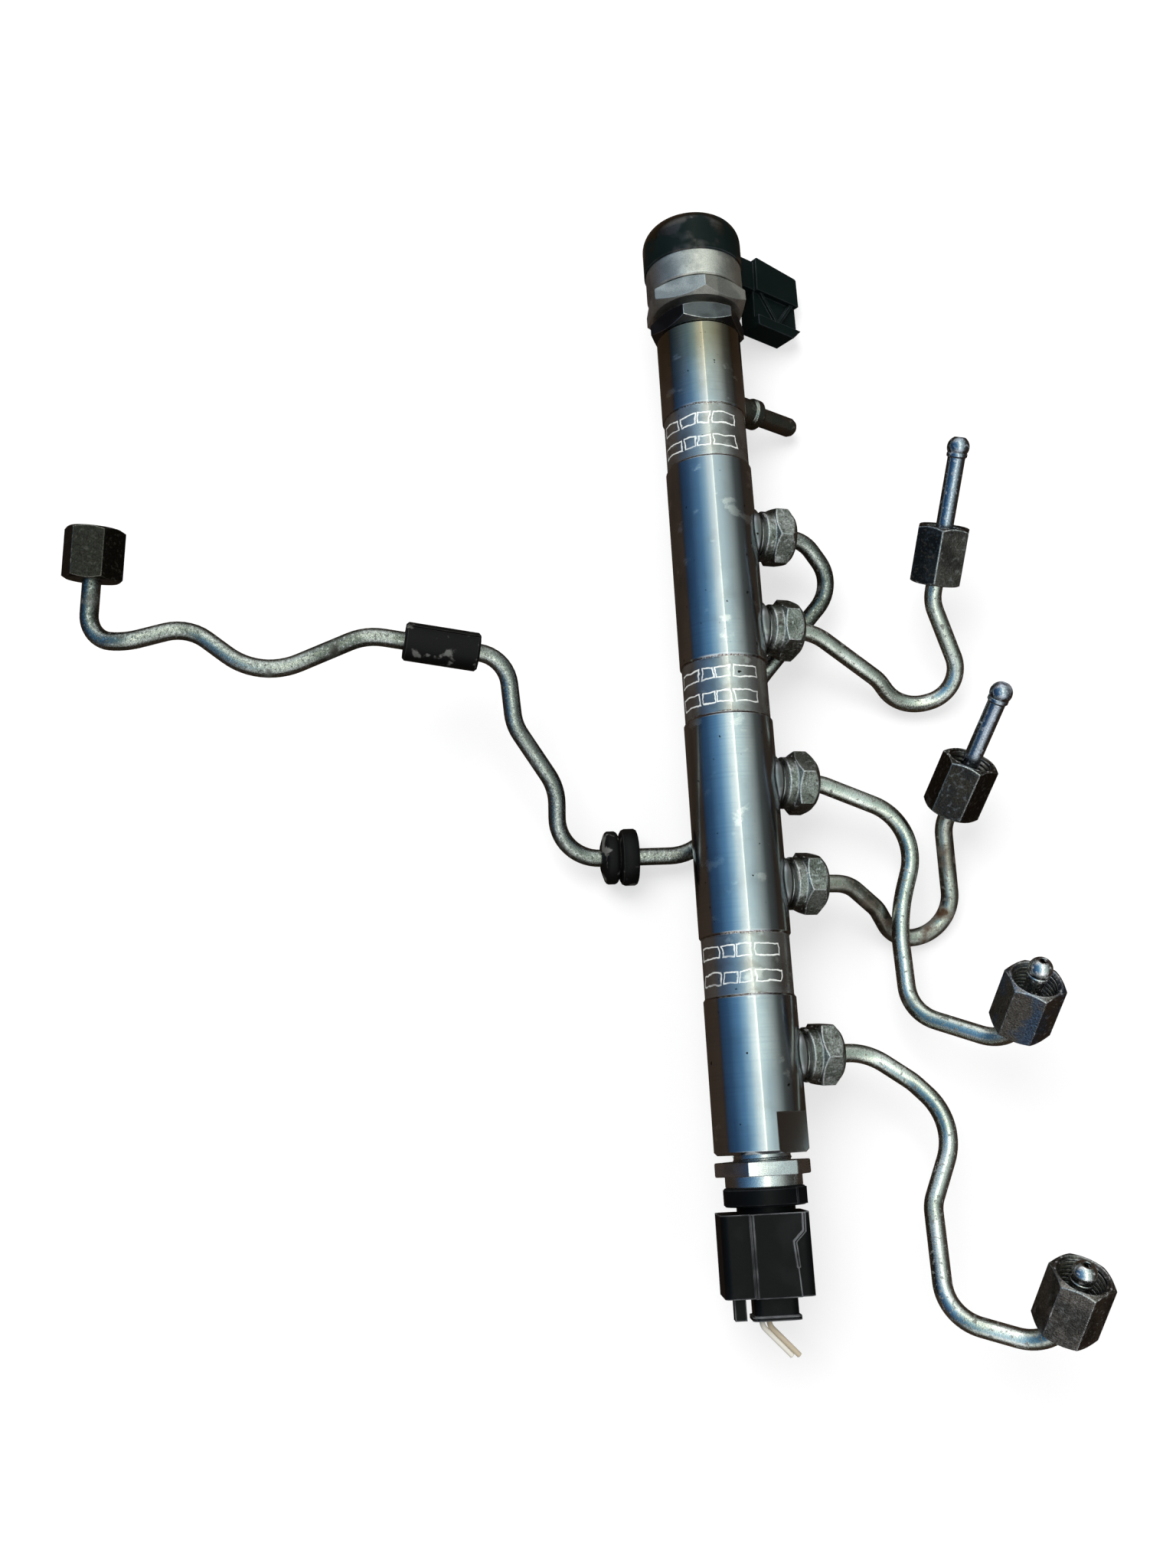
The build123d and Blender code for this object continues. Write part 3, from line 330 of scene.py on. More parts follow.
def rail_finish(sizes, colours):
    """Turned bright steel with dull stained clamp seats and the marks of the clamps."""
    # Free-cutting steel, turned bright: fine rings round the bar draw each reflection out into a long soft band.
    material, tree, where = blank("turned_steel_bright")
    x, y, z = node(tree, "SeparateXYZ", where)
    along = node(tree, "Math", y, 1 / MM, operation="MULTIPLY")
    around = node(tree, "Math", x, z, operation="ARCTAN2")
    around = node(tree, "Math", around, sizes.seat_radius / MM, operation="MULTIPLY")
    cloud = grain(tree, where, 7.0, 6)
    speckle = grain(tree, where, 0.5, 4)

    # Distance from the middle of the nearest clamp seat, the seats themselves and the brown line at their rims.
    pitch, half = sizes.clamp_pitch / MM, sizes.seat_half / MM
    reach = pitch * 1.5
    seat = node(tree, "Math", along, reach, operation="ADD")
    seat = node(tree, "Math", seat, pitch, operation="MODULO")
    seat = node(tree, "Math", seat, pitch / 2, operation="SUBTRACT")
    seat = node(tree, "Math", seat, operation="ABSOLUTE")
    near = node(tree, "Math", along, operation="ABSOLUTE")
    near = node(tree, "Math", near, reach, operation="LESS_THAN")
    wobble = node(tree, "Math", cloud, 1.6, -0.8, operation="MULTIPLY_ADD")
    inside = node(tree, "Math", wobble, 0.3, seat, operation="MULTIPLY_ADD")
    inside = node(tree, "MapRange", inside, half - 0.1, half + 0.5, 1.0, 0.0, **SMOOTH)
    inside = node(tree, "Math", inside, near, operation="MULTIPLY")
    rim = node(tree, "Math", seat, wobble, operation="ADD")
    rim = node(tree, "Math", rim, half + 0.2, operation="SUBTRACT")
    rim = node(tree, "Math", rim, operation="ABSOLUTE")
    rim = node(tree, "MapRange", rim, 0.1, 0.55, 1.0, 0.0, **SMOOTH)
    rim = node(tree, "Math", rim, near, operation="MULTIPLY")
    broken = node(tree, "MapRange", speckle, 0.35, 0.6, **SMOOTH)
    rim = node(tree, "Math", rim, broken, operation="MULTIPLY")

    line = clamp_marks(tree, sizes, seat, around, grain(tree, where, 6.0, 3))
    line = node(tree, "Math", speckle, 0.25, line, operation="MULTIPLY_ADD")
    width = sizes.mark_line / MM
    marks = node(tree, "MapRange", line, width * 0.65, width * 1.05, 1.0, 0.0, **SMOOTH)
    marks = node(tree, "Math", marks, inside, operation="MULTIPLY")
    faded = node(tree, "MapRange", cloud, 0.32, 0.5, 0.45, 0.95, **SMOOTH)
    marks = node(tree, "Math", marks, faded, operation="MULTIPLY")

    # The tool's feed was about 0.15 mm. The rings are drawn 0.7 mm apart, so that they show.
    turned = grain(tree, where, 0.7, 4, (90, 1, 90))
    haze = grain(tree, where, 22.0, 5, (1, 2.5, 1))
    stains = node(tree, "MapRange", cloud, 0.42, 0.62, **SMOOTH)
    dull = node(tree, "Mix", stains, colours.seat, colours.seat_second, **COLOUR)
    heat = node(tree, "Math", cloud, 14.0, along, operation="MULTIPLY_ADD")
    heat = node(tree, "MapRange", heat, *[place / MM + 7 for place in sizes.tarnish], 0.0, 0.8, **SMOOTH)
    # The forged bosses between the rail and the port nuts are darkened to an oily brown-grey: partly oily grime,
    # partly painted shade in the gap under the nuts.
    grime_and_boss_shade = node(tree, "VectorMath", node(tree, "CombineXYZ", x, z), operation="LENGTH")
    grime_and_boss_shade = node(tree, "Math", cloud, MM, grime_and_boss_shade, operation="MULTIPLY_ADD")
    grime_and_boss_shade = node(tree, "MapRange", grime_and_boss_shade, 15.4 * MM, 16.6 * MM, 0.0, 0.75, **SMOOTH)
    pits = node(tree, "MapRange", grain(tree, where, 2.2, 2), 0.72, 0.75, **SMOOTH)
    scuffs = node(tree, "MapRange", grain(tree, where, 7.0, 7, (1.3, 1, 1.3)), 0.61, 0.7, 0.0, 0.45, **SMOOTH)
    rubbed, normal = edges(tree, 0.4)
    hazy = node(tree, "MapRange", haze, 0.4, 0.62, **SMOOTH)
    rings = node(tree, "MapRange", turned, 0.45, 0.7, 0.0, 0.3, **SMOOTH)
    worn_seat = node(tree, "Math", inside, 0.6, operation="MULTIPLY")
    bright = node(tree, "Math", rubbed, 0.7, operation="MULTIPLY")
    tone = colours.rail
    for share, over in ((hazy, colours.rail_second), (rings, colours.blued), (worn_seat, dull),
                        (heat, colours.tarnish), (grime_and_boss_shade, colours.grime_and_boss_shade), (rim, colours.rust), (pits, colours.soot),
                        (scuffs, colours.mark), (marks, colours.mark), (bright, colours.bare)):
        tone = node(tree, "Mix", share, tone, over, **COLOUR)

    gloss = 0.09
    for share, rougher in ((turned, 0.06), (inside, 0.1), (haze, 0.08), (grime_and_boss_shade, 0.25), (scuffs, 0.35),
                           (marks, 0.35)):
        gloss = node(tree, "Math", share, rougher, gloss, operation="MULTIPLY_ADD", use_clamp=True)
    height = node(tree, "Math", speckle, 0.8, operation="MULTIPLY")
    height = node(tree, "Math", inside, height, turned, operation="MULTIPLY_ADD")
    bump = node(tree, "Bump", 0.16, 0.1 * MM, None, height, normal)
    # Rubbed marks scatter light as a dull surface does, and the seats do so a little.
    soft = node(tree, "Math", inside, 0.05, operation="MULTIPLY")
    metal = node(tree, "Math", marks, 0.7, operation="MULTIPLY")
    metal = node(tree, "Math", metal, soft, operation="MAXIMUM")
    metal = node(tree, "Math", 1.0, metal, operation="SUBTRACT")
    shade(material, {"Base Color": tone, "Roughness": gloss, "Normal": bump, "Metallic": metal})
    return material


def moulded(name, colour, worn, rough=0.35, oil=None, edge=0.35, relief=0.15, rubbing=0.6, scuff=None):
    """Moulded plastic or rubber with fine texture and rubbed edges.

    Where oil gives a colour and a place in metres, old oil lies in patches as far as that place along x. Where
    scuff gives a colour, pale scrapes of it lie over the surface.
    """
    material, tree, where = blank(name)
    # A spark-eroded mould leaves a texture of about 0.05 mm. It is drawn as 0.25 mm, so that it shows.
    fine = grain(tree, where, 0.25, 3)
    broad = grain(tree, where, 11.0, 5)
    rubbed, normal = edges(tree, edge)
    uneven = node(tree, "MapRange", broad, 0.35, 0.6, 0.2 * rubbing, rubbing, **SMOOTH)
    rubbed = node(tree, "Math", rubbed, uneven, operation="MULTIPLY")
    faded = node(tree, "MapRange", broad, 0.45, 0.75, 0.0, 0.02, **SMOOTH)
    tone = node(tree, "Mix", faded, colour, worn, **COLOUR)
    tone = node(tree, "Mix", rubbed, tone, worn, **COLOUR)
    if scuff:
        scrapes = node(tree, "MapRange", grain(tree, where, 5.0, 6), 0.58, 0.66, 0.0, 0.4, **SMOOTH)
        tone = node(tree, "Mix", scrapes, tone, scuff, **COLOUR)
    gloss = node(tree, "Math", broad, 0.2, rough - 0.1, operation="MULTIPLY_ADD")
    if oil:
        film, reach = oil
        across, _, _ = node(tree, "SeparateXYZ", where)
        stain = node(tree, "MapRange", grain(tree, where, 14.0, 3), 0.5, 0.6, **SMOOTH)
        within = node(tree, "Math", across, reach, operation="LESS_THAN")
        stain = node(tree, "Math", stain, within, operation="MULTIPLY")
        tone = node(tree, "Mix", stain, tone, film, **COLOUR)
        gloss = node(tree, "Math", stain, -0.12, gloss, operation="MULTIPLY_ADD", use_clamp=True)
        drops = node(tree, "Math", grain(tree, where, 1.6, 2), 14.0, operation="MULTIPLY")
        fine = node(tree, "Math", stain, drops, fine, operation="MULTIPLY_ADD")
        shade(material, {"Coat Weight": stain})
    bump = node(tree, "Bump", relief, 0.1 * MM, None, fine, normal)
    # Grime and fine scratches scatter what a clean plastic would mirror, so its specular level is low.
    shade(material, {"Base Color": tone, "Roughness": gloss, "Normal": bump, "Specular IOR Level": 0.07,
                     "Coat Roughness": 0.06})
    return material


def dress(material, *names):
    """Gives CAD nodes a finish in their own material slots."""
    for name in names:
        piece = frame["nodes"][name]
        if not piece.data.materials:
            piece.data.materials.append(material)
        for place in piece.material_slots:
            place.material = material


def drum(radius, start, end, sides=96):
    """A closed cylinder on the rail's axis between two places along it."""
    bpy.ops.object.select_all(action="DESELECT")
    bpy.ops.mesh.primitive_cylinder_add(vertices=sides, radius=radius, depth=end - start,
                                        location=(0, (start + end) / 2, 0), rotation=(radians(90), 0, 0))
    return bpy.context.active_object


def bevelled(piece, width):
    """Rounds the sharp edges of a piece by width millimetres."""
    bevel = piece.modifiers.new("Bevel", "BEVEL")
    bevel.width = width * MM
    bevel.segments = 2
    bevel.angle_limit = radians(40)
    bpy.ops.object.modifier_apply(modifier=bevel.name)


def settled(piece, material, crease):
    """Applies the place of the active piece, smooths it up to crease degrees and gives it its material."""
    bpy.ops.object.transform_apply(location=True, rotation=True, scale=True)
    bpy.ops.object.shade_smooth_by_angle(angle=radians(crease))
    piece.data.materials.clear()
    piece.data.materials.append(material)


def turned_sensor(sizes, material):
    """The sensor's steel body: a hexagon with crisp corners between its screwed shank and its collar."""
    top, low, foot = sizes.sensor_steps
    piece = drum(sizes.sensor_flats / 2 / cos(radians(30)), low, top, 6)
    piece.name = "sensor_hexagon"
    piece.rotation_euler[1] = sizes.sensor_corner
    bevelled(piece, 0.5)
    for radius, start, end in ((sizes.sensor_collar, foot, low + MM), (sizes.end_shank, top - MM, sizes.sensor_tip)):
        part = drum(radius, start, end)
        bevelled(part, 0.4)
        part.select_set(False)
        bpy.context.view_layer.objects.active = piece
        union = piece.modifiers.new("Union", "BOOLEAN")
        union.operation = "UNION"
        union.object = part
        bpy.ops.object.modifier_apply(modifier=union.name)
        bpy.data.objects.remove(part)
    piece.select_set(True)
    settled(piece, material, 30)
    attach(piece, "rail")
    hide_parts("sensor_body")


def round_grommet(material):
    """The rubber grommet on the feed pipe: two discs with rounded rims and a deep groove between them."""
    bpy.ops.object.select_all(action="DESELECT")
    bpy.ops.mesh.primitive_circle_add(vertices=72, radius=GROMMET_PROFILE[0][1] * MM, location=(0, 0, 0))
    piece = bpy.context.active_object
    piece.name = "grommet_rounded"
    bpy.ops.object.mode_set(mode="EDIT")
    bpy.ops.mesh.select_all(action="SELECT")
    # The ring is drawn through the whole outline and back to its start, where its two ends are merged.
    for before, after in zip(GROMMET_PROFILE, GROMMET_PROFILE[1:] + GROMMET_PROFILE[:1]):
        bpy.ops.mesh.extrude_region_move(TRANSFORM_OT_translate={"value": (0, 0, (after[0] - before[0]) * MM)})
        bpy.ops.transform.resize(value=(after[1] / before[1], after[1] / before[1], 1),
                                 center_override=(0, 0, after[0] * MM))
    bpy.ops.mesh.select_all(action="SELECT")
    bpy.ops.mesh.remove_doubles(threshold=0.01 * MM)
    bpy.ops.mesh.normals_make_consistent(inside=False)
    bpy.ops.object.mode_set(mode="OBJECT")
    start, end = (Vector(place) * MM for place in GROMMET_LINE)
    piece.rotation_euler = (end - start).to_track_quat("Z", "Y").to_euler()
    piece.location = start
    settled(piece, material, 35)
    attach(piece, "rail")
    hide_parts("pipe_grommet")


def nut_line(body):
    """The middle of a loose nut and the direction of its axis."""
    joint = next(j for j in frame["joints"] if j["child"] == body and j["type"] == "hinge")
    return Vector(joint["pos_m"]), Vector(joint["axis"]).normalized()


def cut_thread(name, radius, turns, start, axis, material, sizes):
    """A helical ridge with closed ends, by the Screw modifier, from start along axis."""
    bpy.ops.object.select_all(action="DESELECT")
    bpy.ops.mesh.primitive_circle_add(vertices=4, radius=1, location=(radius, 0, 0), rotation=(radians(90), 0, 0))
    piece = bpy.context.active_object
    piece.name = name
    # A ridge that is a little narrower than the pitch leaves a flat root between the turns.
    piece.scale = (sizes.thread_depth, sizes.thread_pitch * 0.46, 1)
    bpy.ops.object.transform_apply(location=True, rotation=True, scale=True)
    screw = piece.modifiers.new("Screw", "SCREW")
    screw.screw_offset = sizes.thread_pitch
    screw.iterations = turns
    screw.steps = 32
    screw.render_steps = 32
    screw.use_smooth_shade = False
    bpy.ops.object.modifier_apply(modifier=screw.name)
    bpy.ops.object.mode_set(mode="EDIT")
    bpy.ops.mesh.select_all(action="SELECT")
    bpy.ops.mesh.fill_holes(sides=0)
    bpy.ops.mesh.select_all(action="SELECT")
    bpy.ops.mesh.normals_make_consistent(inside=False)
    bpy.ops.object.mode_set(mode="OBJECT")
    piece.rotation_euler = axis.to_track_quat("Z", "Y").to_euler()
    piece.location = start
    settled(piece, material, 35)
    return piece


class RAIL_OT_camera(bpy.types.Operator):
    """Sets the camera where the photograph was taken"""

    bl_idname = "rail.camera"
    bl_label = "Camera"

    def execute(self, context):
        data = bpy.data.cameras.new("photo_camera")
        data.sensor_fit = "VERTICAL"
        data.sensor_height = SENSOR_HEIGHT
        data.lens = SENSOR_HEIGHT * FOCAL_PIXELS / PHOTO_HEIGHT
        data.clip_start = 0.01
        camera = bpy.data.objects.new("photo_camera", data)
        context.collection.objects.link(camera)
        turn = Matrix(CAMERA_AXES).transposed().to_4x4()
        camera.matrix_world = Matrix.Translation(CAMERA_PLACE) @ turn
        context.scene.camera = camera
        return {"FINISHED"}


class RAIL_OT_rail(bpy.types.Operator):
    """Dresses the rail and its return nipple"""

    bl_idname = "rail.rail"
    bl_label = "Rail"

    def execute(self, context):
        sizes, colours = context.scene.rail_sizes, context.scene.rail_colours
        dress(rail_finish(sizes, colours), "rail_body")
        # Turned mild steel that hoses have rubbed: a soft grey glint between patches of brown-black grime.
        dress(worn_metal("nipple_steel_satin", colours.zinc_worn, colours.nut_second, colours.soot, colours.bare,
                         patch=6.0, rough=0.27, dirty=0.6), "return_nipple")
        return {"FINISHED"}


class RAIL_OT_pipes(bpy.types.Operator):
    """Dresses the high pressure pipes in worn zinc plating"""

    bl_idname = "rail.pipes"
    bl_label = "Pipes"

    def execute(self, context):
        sizes, colours = context.scene.rail_sizes, context.scene.rail_colours
        for number in INJECTORS:
            middle, axis = nut_line(f"injector_nut_body_{number}")
            polish = colours.blued if number in LONG_ENDS else colours.bare
            end = (middle + axis * sizes.pipe_ahead[number - 1], sizes.bare_reach[number - 1], polish)
            # Drawn steel tube, zinc plated: a pale satin highlight with dark specks where the plating has gone,
            # and bare bluish steel with a sharper glint at the free end.
            if number == STAINED_PIPE:
                finish = worn_metal(f"zinc_plating_satin_{number}", colours.zinc_second, colours.zinc_worn,
                                    colours.brown, colours.bare, fine=0.45, patch=16.0, rough=0.32, dirty=0.54,
                                    speck=0.6, relief=0.3, mottle=0.3, end=end)
            else:
                finish = worn_metal(f"zinc_plating_satin_{number}", colours.zinc, colours.zinc_second,
                                    colours.soot, colours.bare, fine=0.45, patch=16.0, rough=0.25, dirty=0.66,
                                    speck=0.6, relief=0.3, mottle=0.2, end=end)
            dress(finish, f"injector_pipe_{number}")
        # The same plating, darkened by heat and oil: a dim greenish grey that sparkles where flecks are bare.
        dark = worn_metal("zinc_plating_dull", colours.feed, colours.feed_second, colours.soot, colours.bare,
                          fine=0.3, patch=20.0, rough=0.27, dirty=0.6, speck=0.6, relief=0.35, mottle=0.5,
                          fleck=0.4)
        dress(dark, "feed_pipe")
        return {"FINISHED"}


class RAIL_OT_nuts(bpy.types.Operator):
    """Dresses the union nuts and their thrust sleeves"""

    bl_idname = "rail.nuts"
    bl_label = "Nuts"

    def execute(self, context):
        colours = context.scene.rail_colours
        # Forged steel, zinc plated: a matt grey skin, grimy in the hollows, with corners rubbed bright by spanners.
        plated = worn_metal("zinc_nut_matt", colours.nut, colours.nut_second, colours.soot, colours.bare,
                            fine=0.5, patch=7.0, rough=0.34, dirty=0.58, speck=0.75, relief=0.7, mottle=0.5,
                            fleck=0.5, edge=0.7)
        dress(plated, *[f"rail_nut_{i}" for i in PORTS])
        # Injector nut 2's second tone is a painted bluish reflection, laid in patches over its worn oxide.
        tones = ((colours.oxide, colours.oxide_second), (colours.nut_worn, colours.painted_blue_reflection),
                 (colours.oxide, colours.grime_and_boss_shade), (colours.nut_worn, colours.oxide_second))
        # Machined steel, chemically blacked: dark flats with a low oily sheen and bare steel on every corner.
        for number, (tone, second) in enumerate(tones, 1):
            black = worn_metal(f"black_oxide_worn_{number}", tone, second, colours.soot, colours.bare,
                               fine=0.5, patch=9.0, rough=0.34, dirty=0.6, speck=0.6, relief=0.8, wear=1.0,
                               mottle=0.5, fleck=0.12, edge=0.7)
            dress(black, f"injector_nut_{number}")
        # Blacked steel with the forging's skin left on: rough, greenish and nearly without sheen.
        rough = worn_metal("black_oxide_rough", colours.rough_oxide, colours.rough_oxide, colours.soot,
                           colours.zinc_worn, fine=0.5, patch=6.0, rough=0.4, dirty=0.62, speck=0.6, relief=1.0,
                           mottle=0.6, fleck=0.1, edge=0.5)
        dress(rough, "feed_nut")
        # Turned steel sleeves, bare: a plain grey glint in the mouths of the nuts.
        ground = worn_metal("sleeve_steel_satin", colours.zinc_worn, colours.blued, colours.soot, colours.bare)
        dress(ground, "feed_thrust_sleeve", *[f"rail_thrust_sleeve_{i}" for i in PORTS],
              *[f"injector_thrust_sleeve_{i}" for i in INJECTORS])
        return {"FINISHED"}


class RAIL_OT_valve(bpy.types.Operator):
    """Dresses the pressure control valve"""

    bl_idname = "rail.valve"
    bl_label = "Valve"

    def execute(self, context):
        sizes, colours = context.scene.rail_sizes, context.scene.rail_colours
        # Stainless steel, brushed: a broad warm grey sheen without sharp reflections.
        body = worn_metal("valve_steel_brushed", colours.brushed, colours.seat, colours.brown, colours.bare,
                          fine=0.3, patch=9.0, rough=0.5, dirty=0.72, relief=0.2, mottle=0.25)
        dress(body, "valve_body")
        # Phosphated steel, soaked in oil: charcoal flats with a soft sheen.
        nut = worn_metal("lock_nut_oiled", colours.lock, colours.lock_second, colours.soot, colours.bare,
                         patch=9.0, rough=0.32, dirty=0.68, mottle=0.15)
        dress(nut, "valve_lock_nut")
        # Hardened steel, ground: clean and bright, as nothing has touched it inside the valve.
        inner = worn_metal("inner_steel_ground", colours.bare, colours.rail, colours.soot, colours.bare, rough=0.25)
        dress(inner, "valve_seat", "valve_ball", "valve_armature", "valve_spring")
        # Enamelled copper wire, wound: an orange-brown sheen.
        winding = worn_metal("copper_winding", colours.copper, colours.copper, colours.brown, colours.copper)
        dress(winding, "valve_coil")
        # Nylon, moulded: a dark green-black satin, wet and brown where old oil lies on it.
        dress(moulded("valve_cap_oily", colours.cap, colours.plastic_worn, rough=0.34,
                      oil=(colours.oil, sizes.cap_radius), edge=0.5, relief=0.3), "valve_cap")
        # Tinned brass, stamped: a pale soft glint deep in the connectors.
        tin = worn_metal("tinned_contact", colours.bare, colours.zinc, colours.soot, colours.bare)
        dress(tin, "valve_terminals", "sensor_pins")
        return {"FINISHED"}


class RAIL_OT_sensor(bpy.types.Operator):
    """Dresses the pressure sensor, its plug and the wire tails"""

    bl_idname = "rail.sensor"
    bl_label = "Sensor and plug"

    def execute(self, context):
        sizes, colours = context.scene.rail_sizes, context.scene.rail_colours
        # Stainless steel, turned and milled: the brightest metal here, with crisp flats that mirror the window.
        steel = worn_metal("sensor_steel_satin", colours.bare, colours.rail, colours.brown, colours.bare,
                           fine=0.3, patch=8.0, rough=0.28, dirty=0.68, relief=0.12)
        turned_sensor(sizes, steel)
        # Glass-filled PBT, moulded: deep black with a dull satin sheen.
        dress(moulded("sensor_plastic_satin", colours.plastic, colours.plastic_worn, rough=0.38), "sensor_housing")
        # Nylon, moulded: deep black, with ribs and edges that handling has rubbed to a pale grey line.
        dress(moulded("plug_plastic_satin", colours.plastic, colours.rib_worn, rough=0.4, rubbing=1.0, edge=0.6),
              "plug_housing")
        # PVC, extruded on the wires: smooth and soft, nearly without shine.
        dress(moulded("wire_white", colours.wire_white, colours.wire_cream, rough=0.45, relief=0.05), "wire_1")
        dress(moulded("wire_cream", colours.wire_cream, colours.zinc_worn, rough=0.45, relief=0.05), "wire_2")
        return {"FINISHED"}


class RAIL_OT_rubber(bpy.types.Operator):
    """Dresses the damping sleeve and the seal ring in rubber, and adds the rounded grommet"""

    bl_idname = "rail.rubber"
    bl_label = "Rubber"

    def execute(self, context):
        colours = context.scene.rail_colours
        # EPDM rubber, moulded: matt black with dust on its edges and a few pale scrapes.
        rubber = moulded("rubber_dusty", colours.rubber, colours.rubber_dust, rough=0.42, relief=0.4, rubbing=0.8,
                         scuff=colours.scuff)
        dress(rubber, "pipe_damper", "valve_o_ring")
        round_grommet(rubber)
        return {"FINISHED"}


class RAIL_OT_threads(bpy.types.Operator):
    """Cuts the threads that can be seen in the nuts' mouths and beside the rail"""

    bl_idname = "rail.threads"
    bl_label = "Threads"

    def execute(self, context):
        sizes, colours = context.scene.rail_sizes, context.scene.rail_colours
        # Cut steel under a film of oil: dark roots and thin bright crests inside the nuts.
        dark = worn_metal("thread_steel_dark", colours.oxide_second, colours.zinc_worn, colours.soot, colours.bare,
                          rough=0.3, dirty=0.66)
        # Cut steel that its nut has kept clean: rows of sharp glints beside the rail.
        bright = worn_metal("thread_steel_bright", colours.bare, colours.zinc, colours.soot, colours.bare,
                            rough=0.25, dirty=0.66)
        loose = {f"injector_nut_body_{i}": sizes.free_nut_length for i in INJECTORS}
        loose["feed_nut_body"] = sizes.feed_nut_length
        # The thread starts 0.8 mm in front of the wall and ends 1 mm before the mouth.
        lead, mouth = 0.8 * MM, 1.0 * MM
        for body, long in loose.items():
            middle, axis = nut_line(body)
            turns = int((long - sizes.nut_wall - lead - mouth) / sizes.thread_pitch)
            start = middle + axis * (sizes.nut_wall - long / 2 + lead)
            thread = cut_thread(f"thread_of_{body}", sizes.union_bore, turns, start, axis, dark, sizes)
            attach(thread, body)
        # Outer threads lie a little deeper than the bore or shank that they belong to.
        out = Matrix.Rotation(sizes.port_dip, 3, "Y") @ Vector((1, 0, 0))
        lines = [(f"port_{number}", sizes.union_bore - 0.15 * MM, Vector((0, place, 0)) + out * sizes.stub_start, out)
                 for number, place in enumerate(sizes.port_places, 1)]
        lines += [(name, sizes.end_shank - 0.1 * MM, Vector((0, place, 0)), Vector((0, 1, 0)))
                  for name, place in (("valve", sizes.valve_gap), ("sensor", sizes.sensor_gap))]
        for name, radius, start, axis in lines:
            thread = cut_thread(f"thread_of_{name}", radius, 1, start, axis, bright, sizes)
            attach(thread, "rail")
        return {"FINISHED"}


class RAIL_OT_stage(bpy.types.Operator):
    """Sets the pale floor, the soft light and what the metal reflects"""

    bl_idname = "rail.stage"
    bl_label = "Stage"

    def execute(self, context):
        bpy.ops.object.select_all(action="DESELECT")
        bpy.ops.mesh.primitive_plane_add(size=FLOOR_SIZE, location=(0, 0, context.scene.rail_sizes.floor))
        floor = context.active_object
        floor.name = "floor"
        floor.data.materials.append(floor_finish())
        for name, place, power, size in LAMPS:
            data = bpy.data.lights.new(name, "AREA")
            data.energy = power
            data.size = size
            lamp = bpy.data.objects.new(name, data)
            lamp.location = place
            lamp.rotation_euler = Vector(place).to_track_quat("Z", "Y").to_euler()
            lamp.visible_glossy = False
            context.collection.objects.link(lamp)
        context.scene.world = surroundings()
        context.scene.view_settings.view_transform = "Standard"
        return {"FINISHED"}


def floor_finish():
    """A floor that is white paper with a light shadow to the camera, and dark brown to what reflects it."""
    material = bpy.data.materials.new("floor_paper")
    material.use_nodes = True
    tree = material.node_tree
    tree.nodes.clear()
    # Matt white paper, lifted by a glow so that its shadow stays as light as in the photograph.
    paper = node(tree, "BsdfDiffuse", linear(FLOOR_PAPER))
    glow = node(tree, "Emission", linear("#ffffff"), 1.0)
    seen = node(tree, "MixShader", FLOOR_GLOW, paper, glow)
    mirrored = node(tree, "BsdfDiffuse", linear(FLOOR_MIRRORED))
    bounced = node(tree, "BsdfDiffuse", linear(FLOOR_BOUNCED))
    hidden = node(tree, "MixShader", node(tree, "LightPath", output="Is Glossy Ray"), bounced, mirrored)
    both = node(tree, "MixShader", node(tree, "LightPath", output="Is Camera Ray"), hidden, seen)
    node(tree, "OutputMaterial", both)
    return material


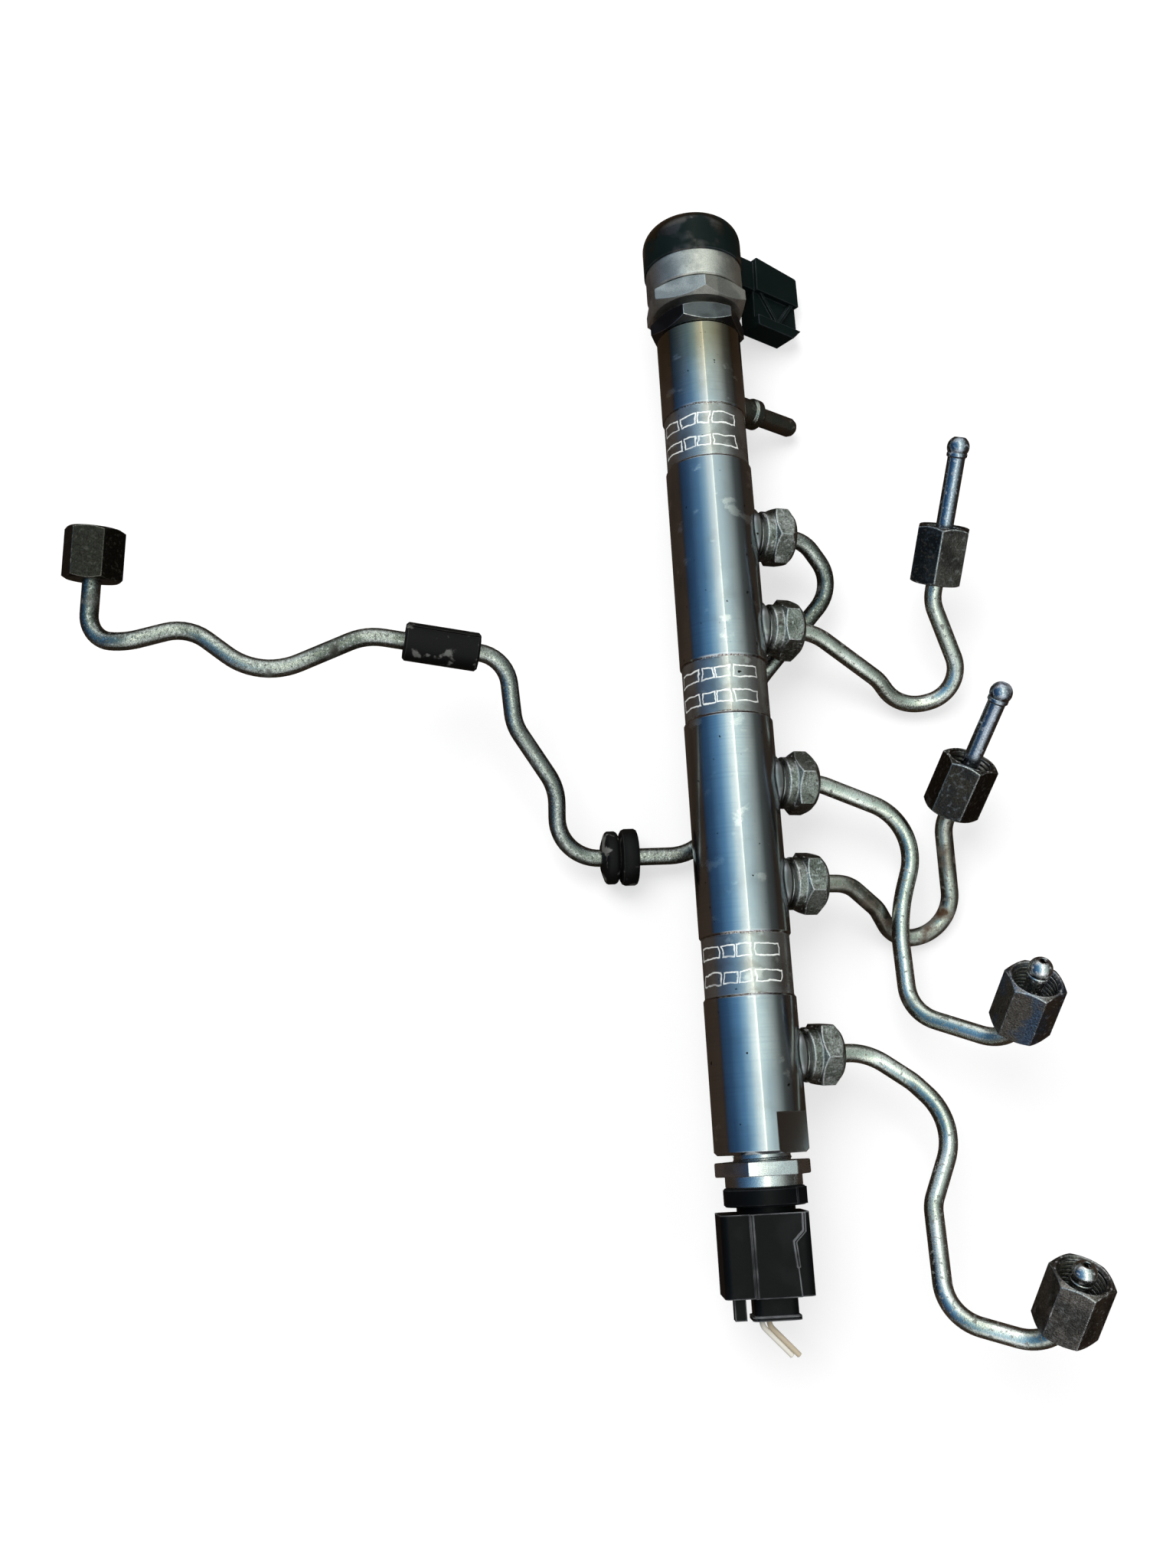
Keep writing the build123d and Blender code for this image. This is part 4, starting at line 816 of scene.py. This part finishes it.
def surroundings():
    """White for the camera, even light for what is matt, and a room for the metal to reflect."""
    world = bpy.data.worlds.new("studio")
    world.use_nodes = True
    tree = world.node_tree
    tree.nodes.clear()
    x, y, z = node(tree, "SeparateXYZ", node(tree, "TexCoord", output="Generated"))
    turn = node(tree, "Math", x, z, operation="ARCTAN2")
    turn = node(tree, "Math", turn, 1 / tau, 0.5, operation="MULTIPLY_ADD")
    bands = node(tree, "ValToRGB", turn, output="Color")
    ramp = bands.node.color_ramp
    for place, colour in ROOM[1:-1]:
        ramp.elements.new(place).color = linear(colour)
    for end in (0, -1):
        ramp.elements[end].color = linear(ROOM[end][1])
    # Towards the rail's two ends the bands give way to plain walls that are light above and dark below.
    ends = node(tree, "Math", y, operation="ABSOLUTE")
    ends = node(tree, "MapRange", ends, 0.45, 0.85, **SMOOTH)
    high = node(tree, "MapRange", z, -0.05, 0.6, **SMOOTH)
    wall = node(tree, "Mix", high, linear(WALL_LOW), linear(WALL_HIGH), **COLOUR)
    walls = node(tree, "Mix", ends, bands, wall, **COLOUR)
    off = node(tree, "Math", turn, GLARE_PLACE, operation="SUBTRACT")
    off = node(tree, "Math", off, operation="ABSOLUTE")
    glare = node(tree, "MapRange", off, 0.003, 0.014, GLARE_LIGHT, 0.0, **SMOOTH)
    glare = node(tree, "Math", glare, ROOM_LIGHT, operation="ADD")
    room = node(tree, "Background", walls, glare)
    even = node(tree, "Background", linear("#ffffff"), EVEN_LIGHT)
    white = node(tree, "Background", linear(BACKDROP), 1.0)
    both = node(tree, "MixShader", node(tree, "LightPath", output="Is Glossy Ray"), even, room)
    both = node(tree, "MixShader", node(tree, "LightPath", output="Is Camera Ray"), both, white)
    node(tree, "OutputWorld", both)
    return world


class RAIL_PT_panel(bpy.types.Panel):
    """Buttons for each part of the fuel rail's looks"""

    bl_idname = "RAIL_PT_panel"
    bl_label = "Fuel rail"
    bl_space_type = "VIEW_3D"
    bl_region_type = "UI"
    bl_category = "Fuel rail"

    def draw(self, context):
        for operator in OPERATORS:
            self.layout.operator(operator.bl_idname)


OPERATORS = (RAIL_OT_camera, RAIL_OT_rail, RAIL_OT_pipes, RAIL_OT_nuts, RAIL_OT_valve, RAIL_OT_sensor,
             RAIL_OT_rubber, RAIL_OT_threads, RAIL_OT_stage)
CLASSES = (RailSizes, RailColours, *OPERATORS, RAIL_PT_panel)


def register():
    for kind in CLASSES:
        bpy.utils.register_class(kind)
    bpy.types.Scene.rail_sizes = PointerProperty(type=RailSizes)
    bpy.types.Scene.rail_colours = PointerProperty(type=RailColours)


def unregister():
    del bpy.types.Scene.rail_colours
    del bpy.types.Scene.rail_sizes
    for kind in reversed(CLASSES):
        bpy.utils.unregister_class(kind)


def main():
    register()
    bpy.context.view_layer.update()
    bpy.ops.rail.camera()
    bpy.ops.rail.rail()
    bpy.ops.rail.pipes()
    bpy.ops.rail.nuts()
    bpy.ops.rail.valve()
    bpy.ops.rail.sensor()
    bpy.ops.rail.rubber()
    bpy.ops.rail.threads()
    bpy.ops.rail.stage()


if __name__ == "__main__":
    main()
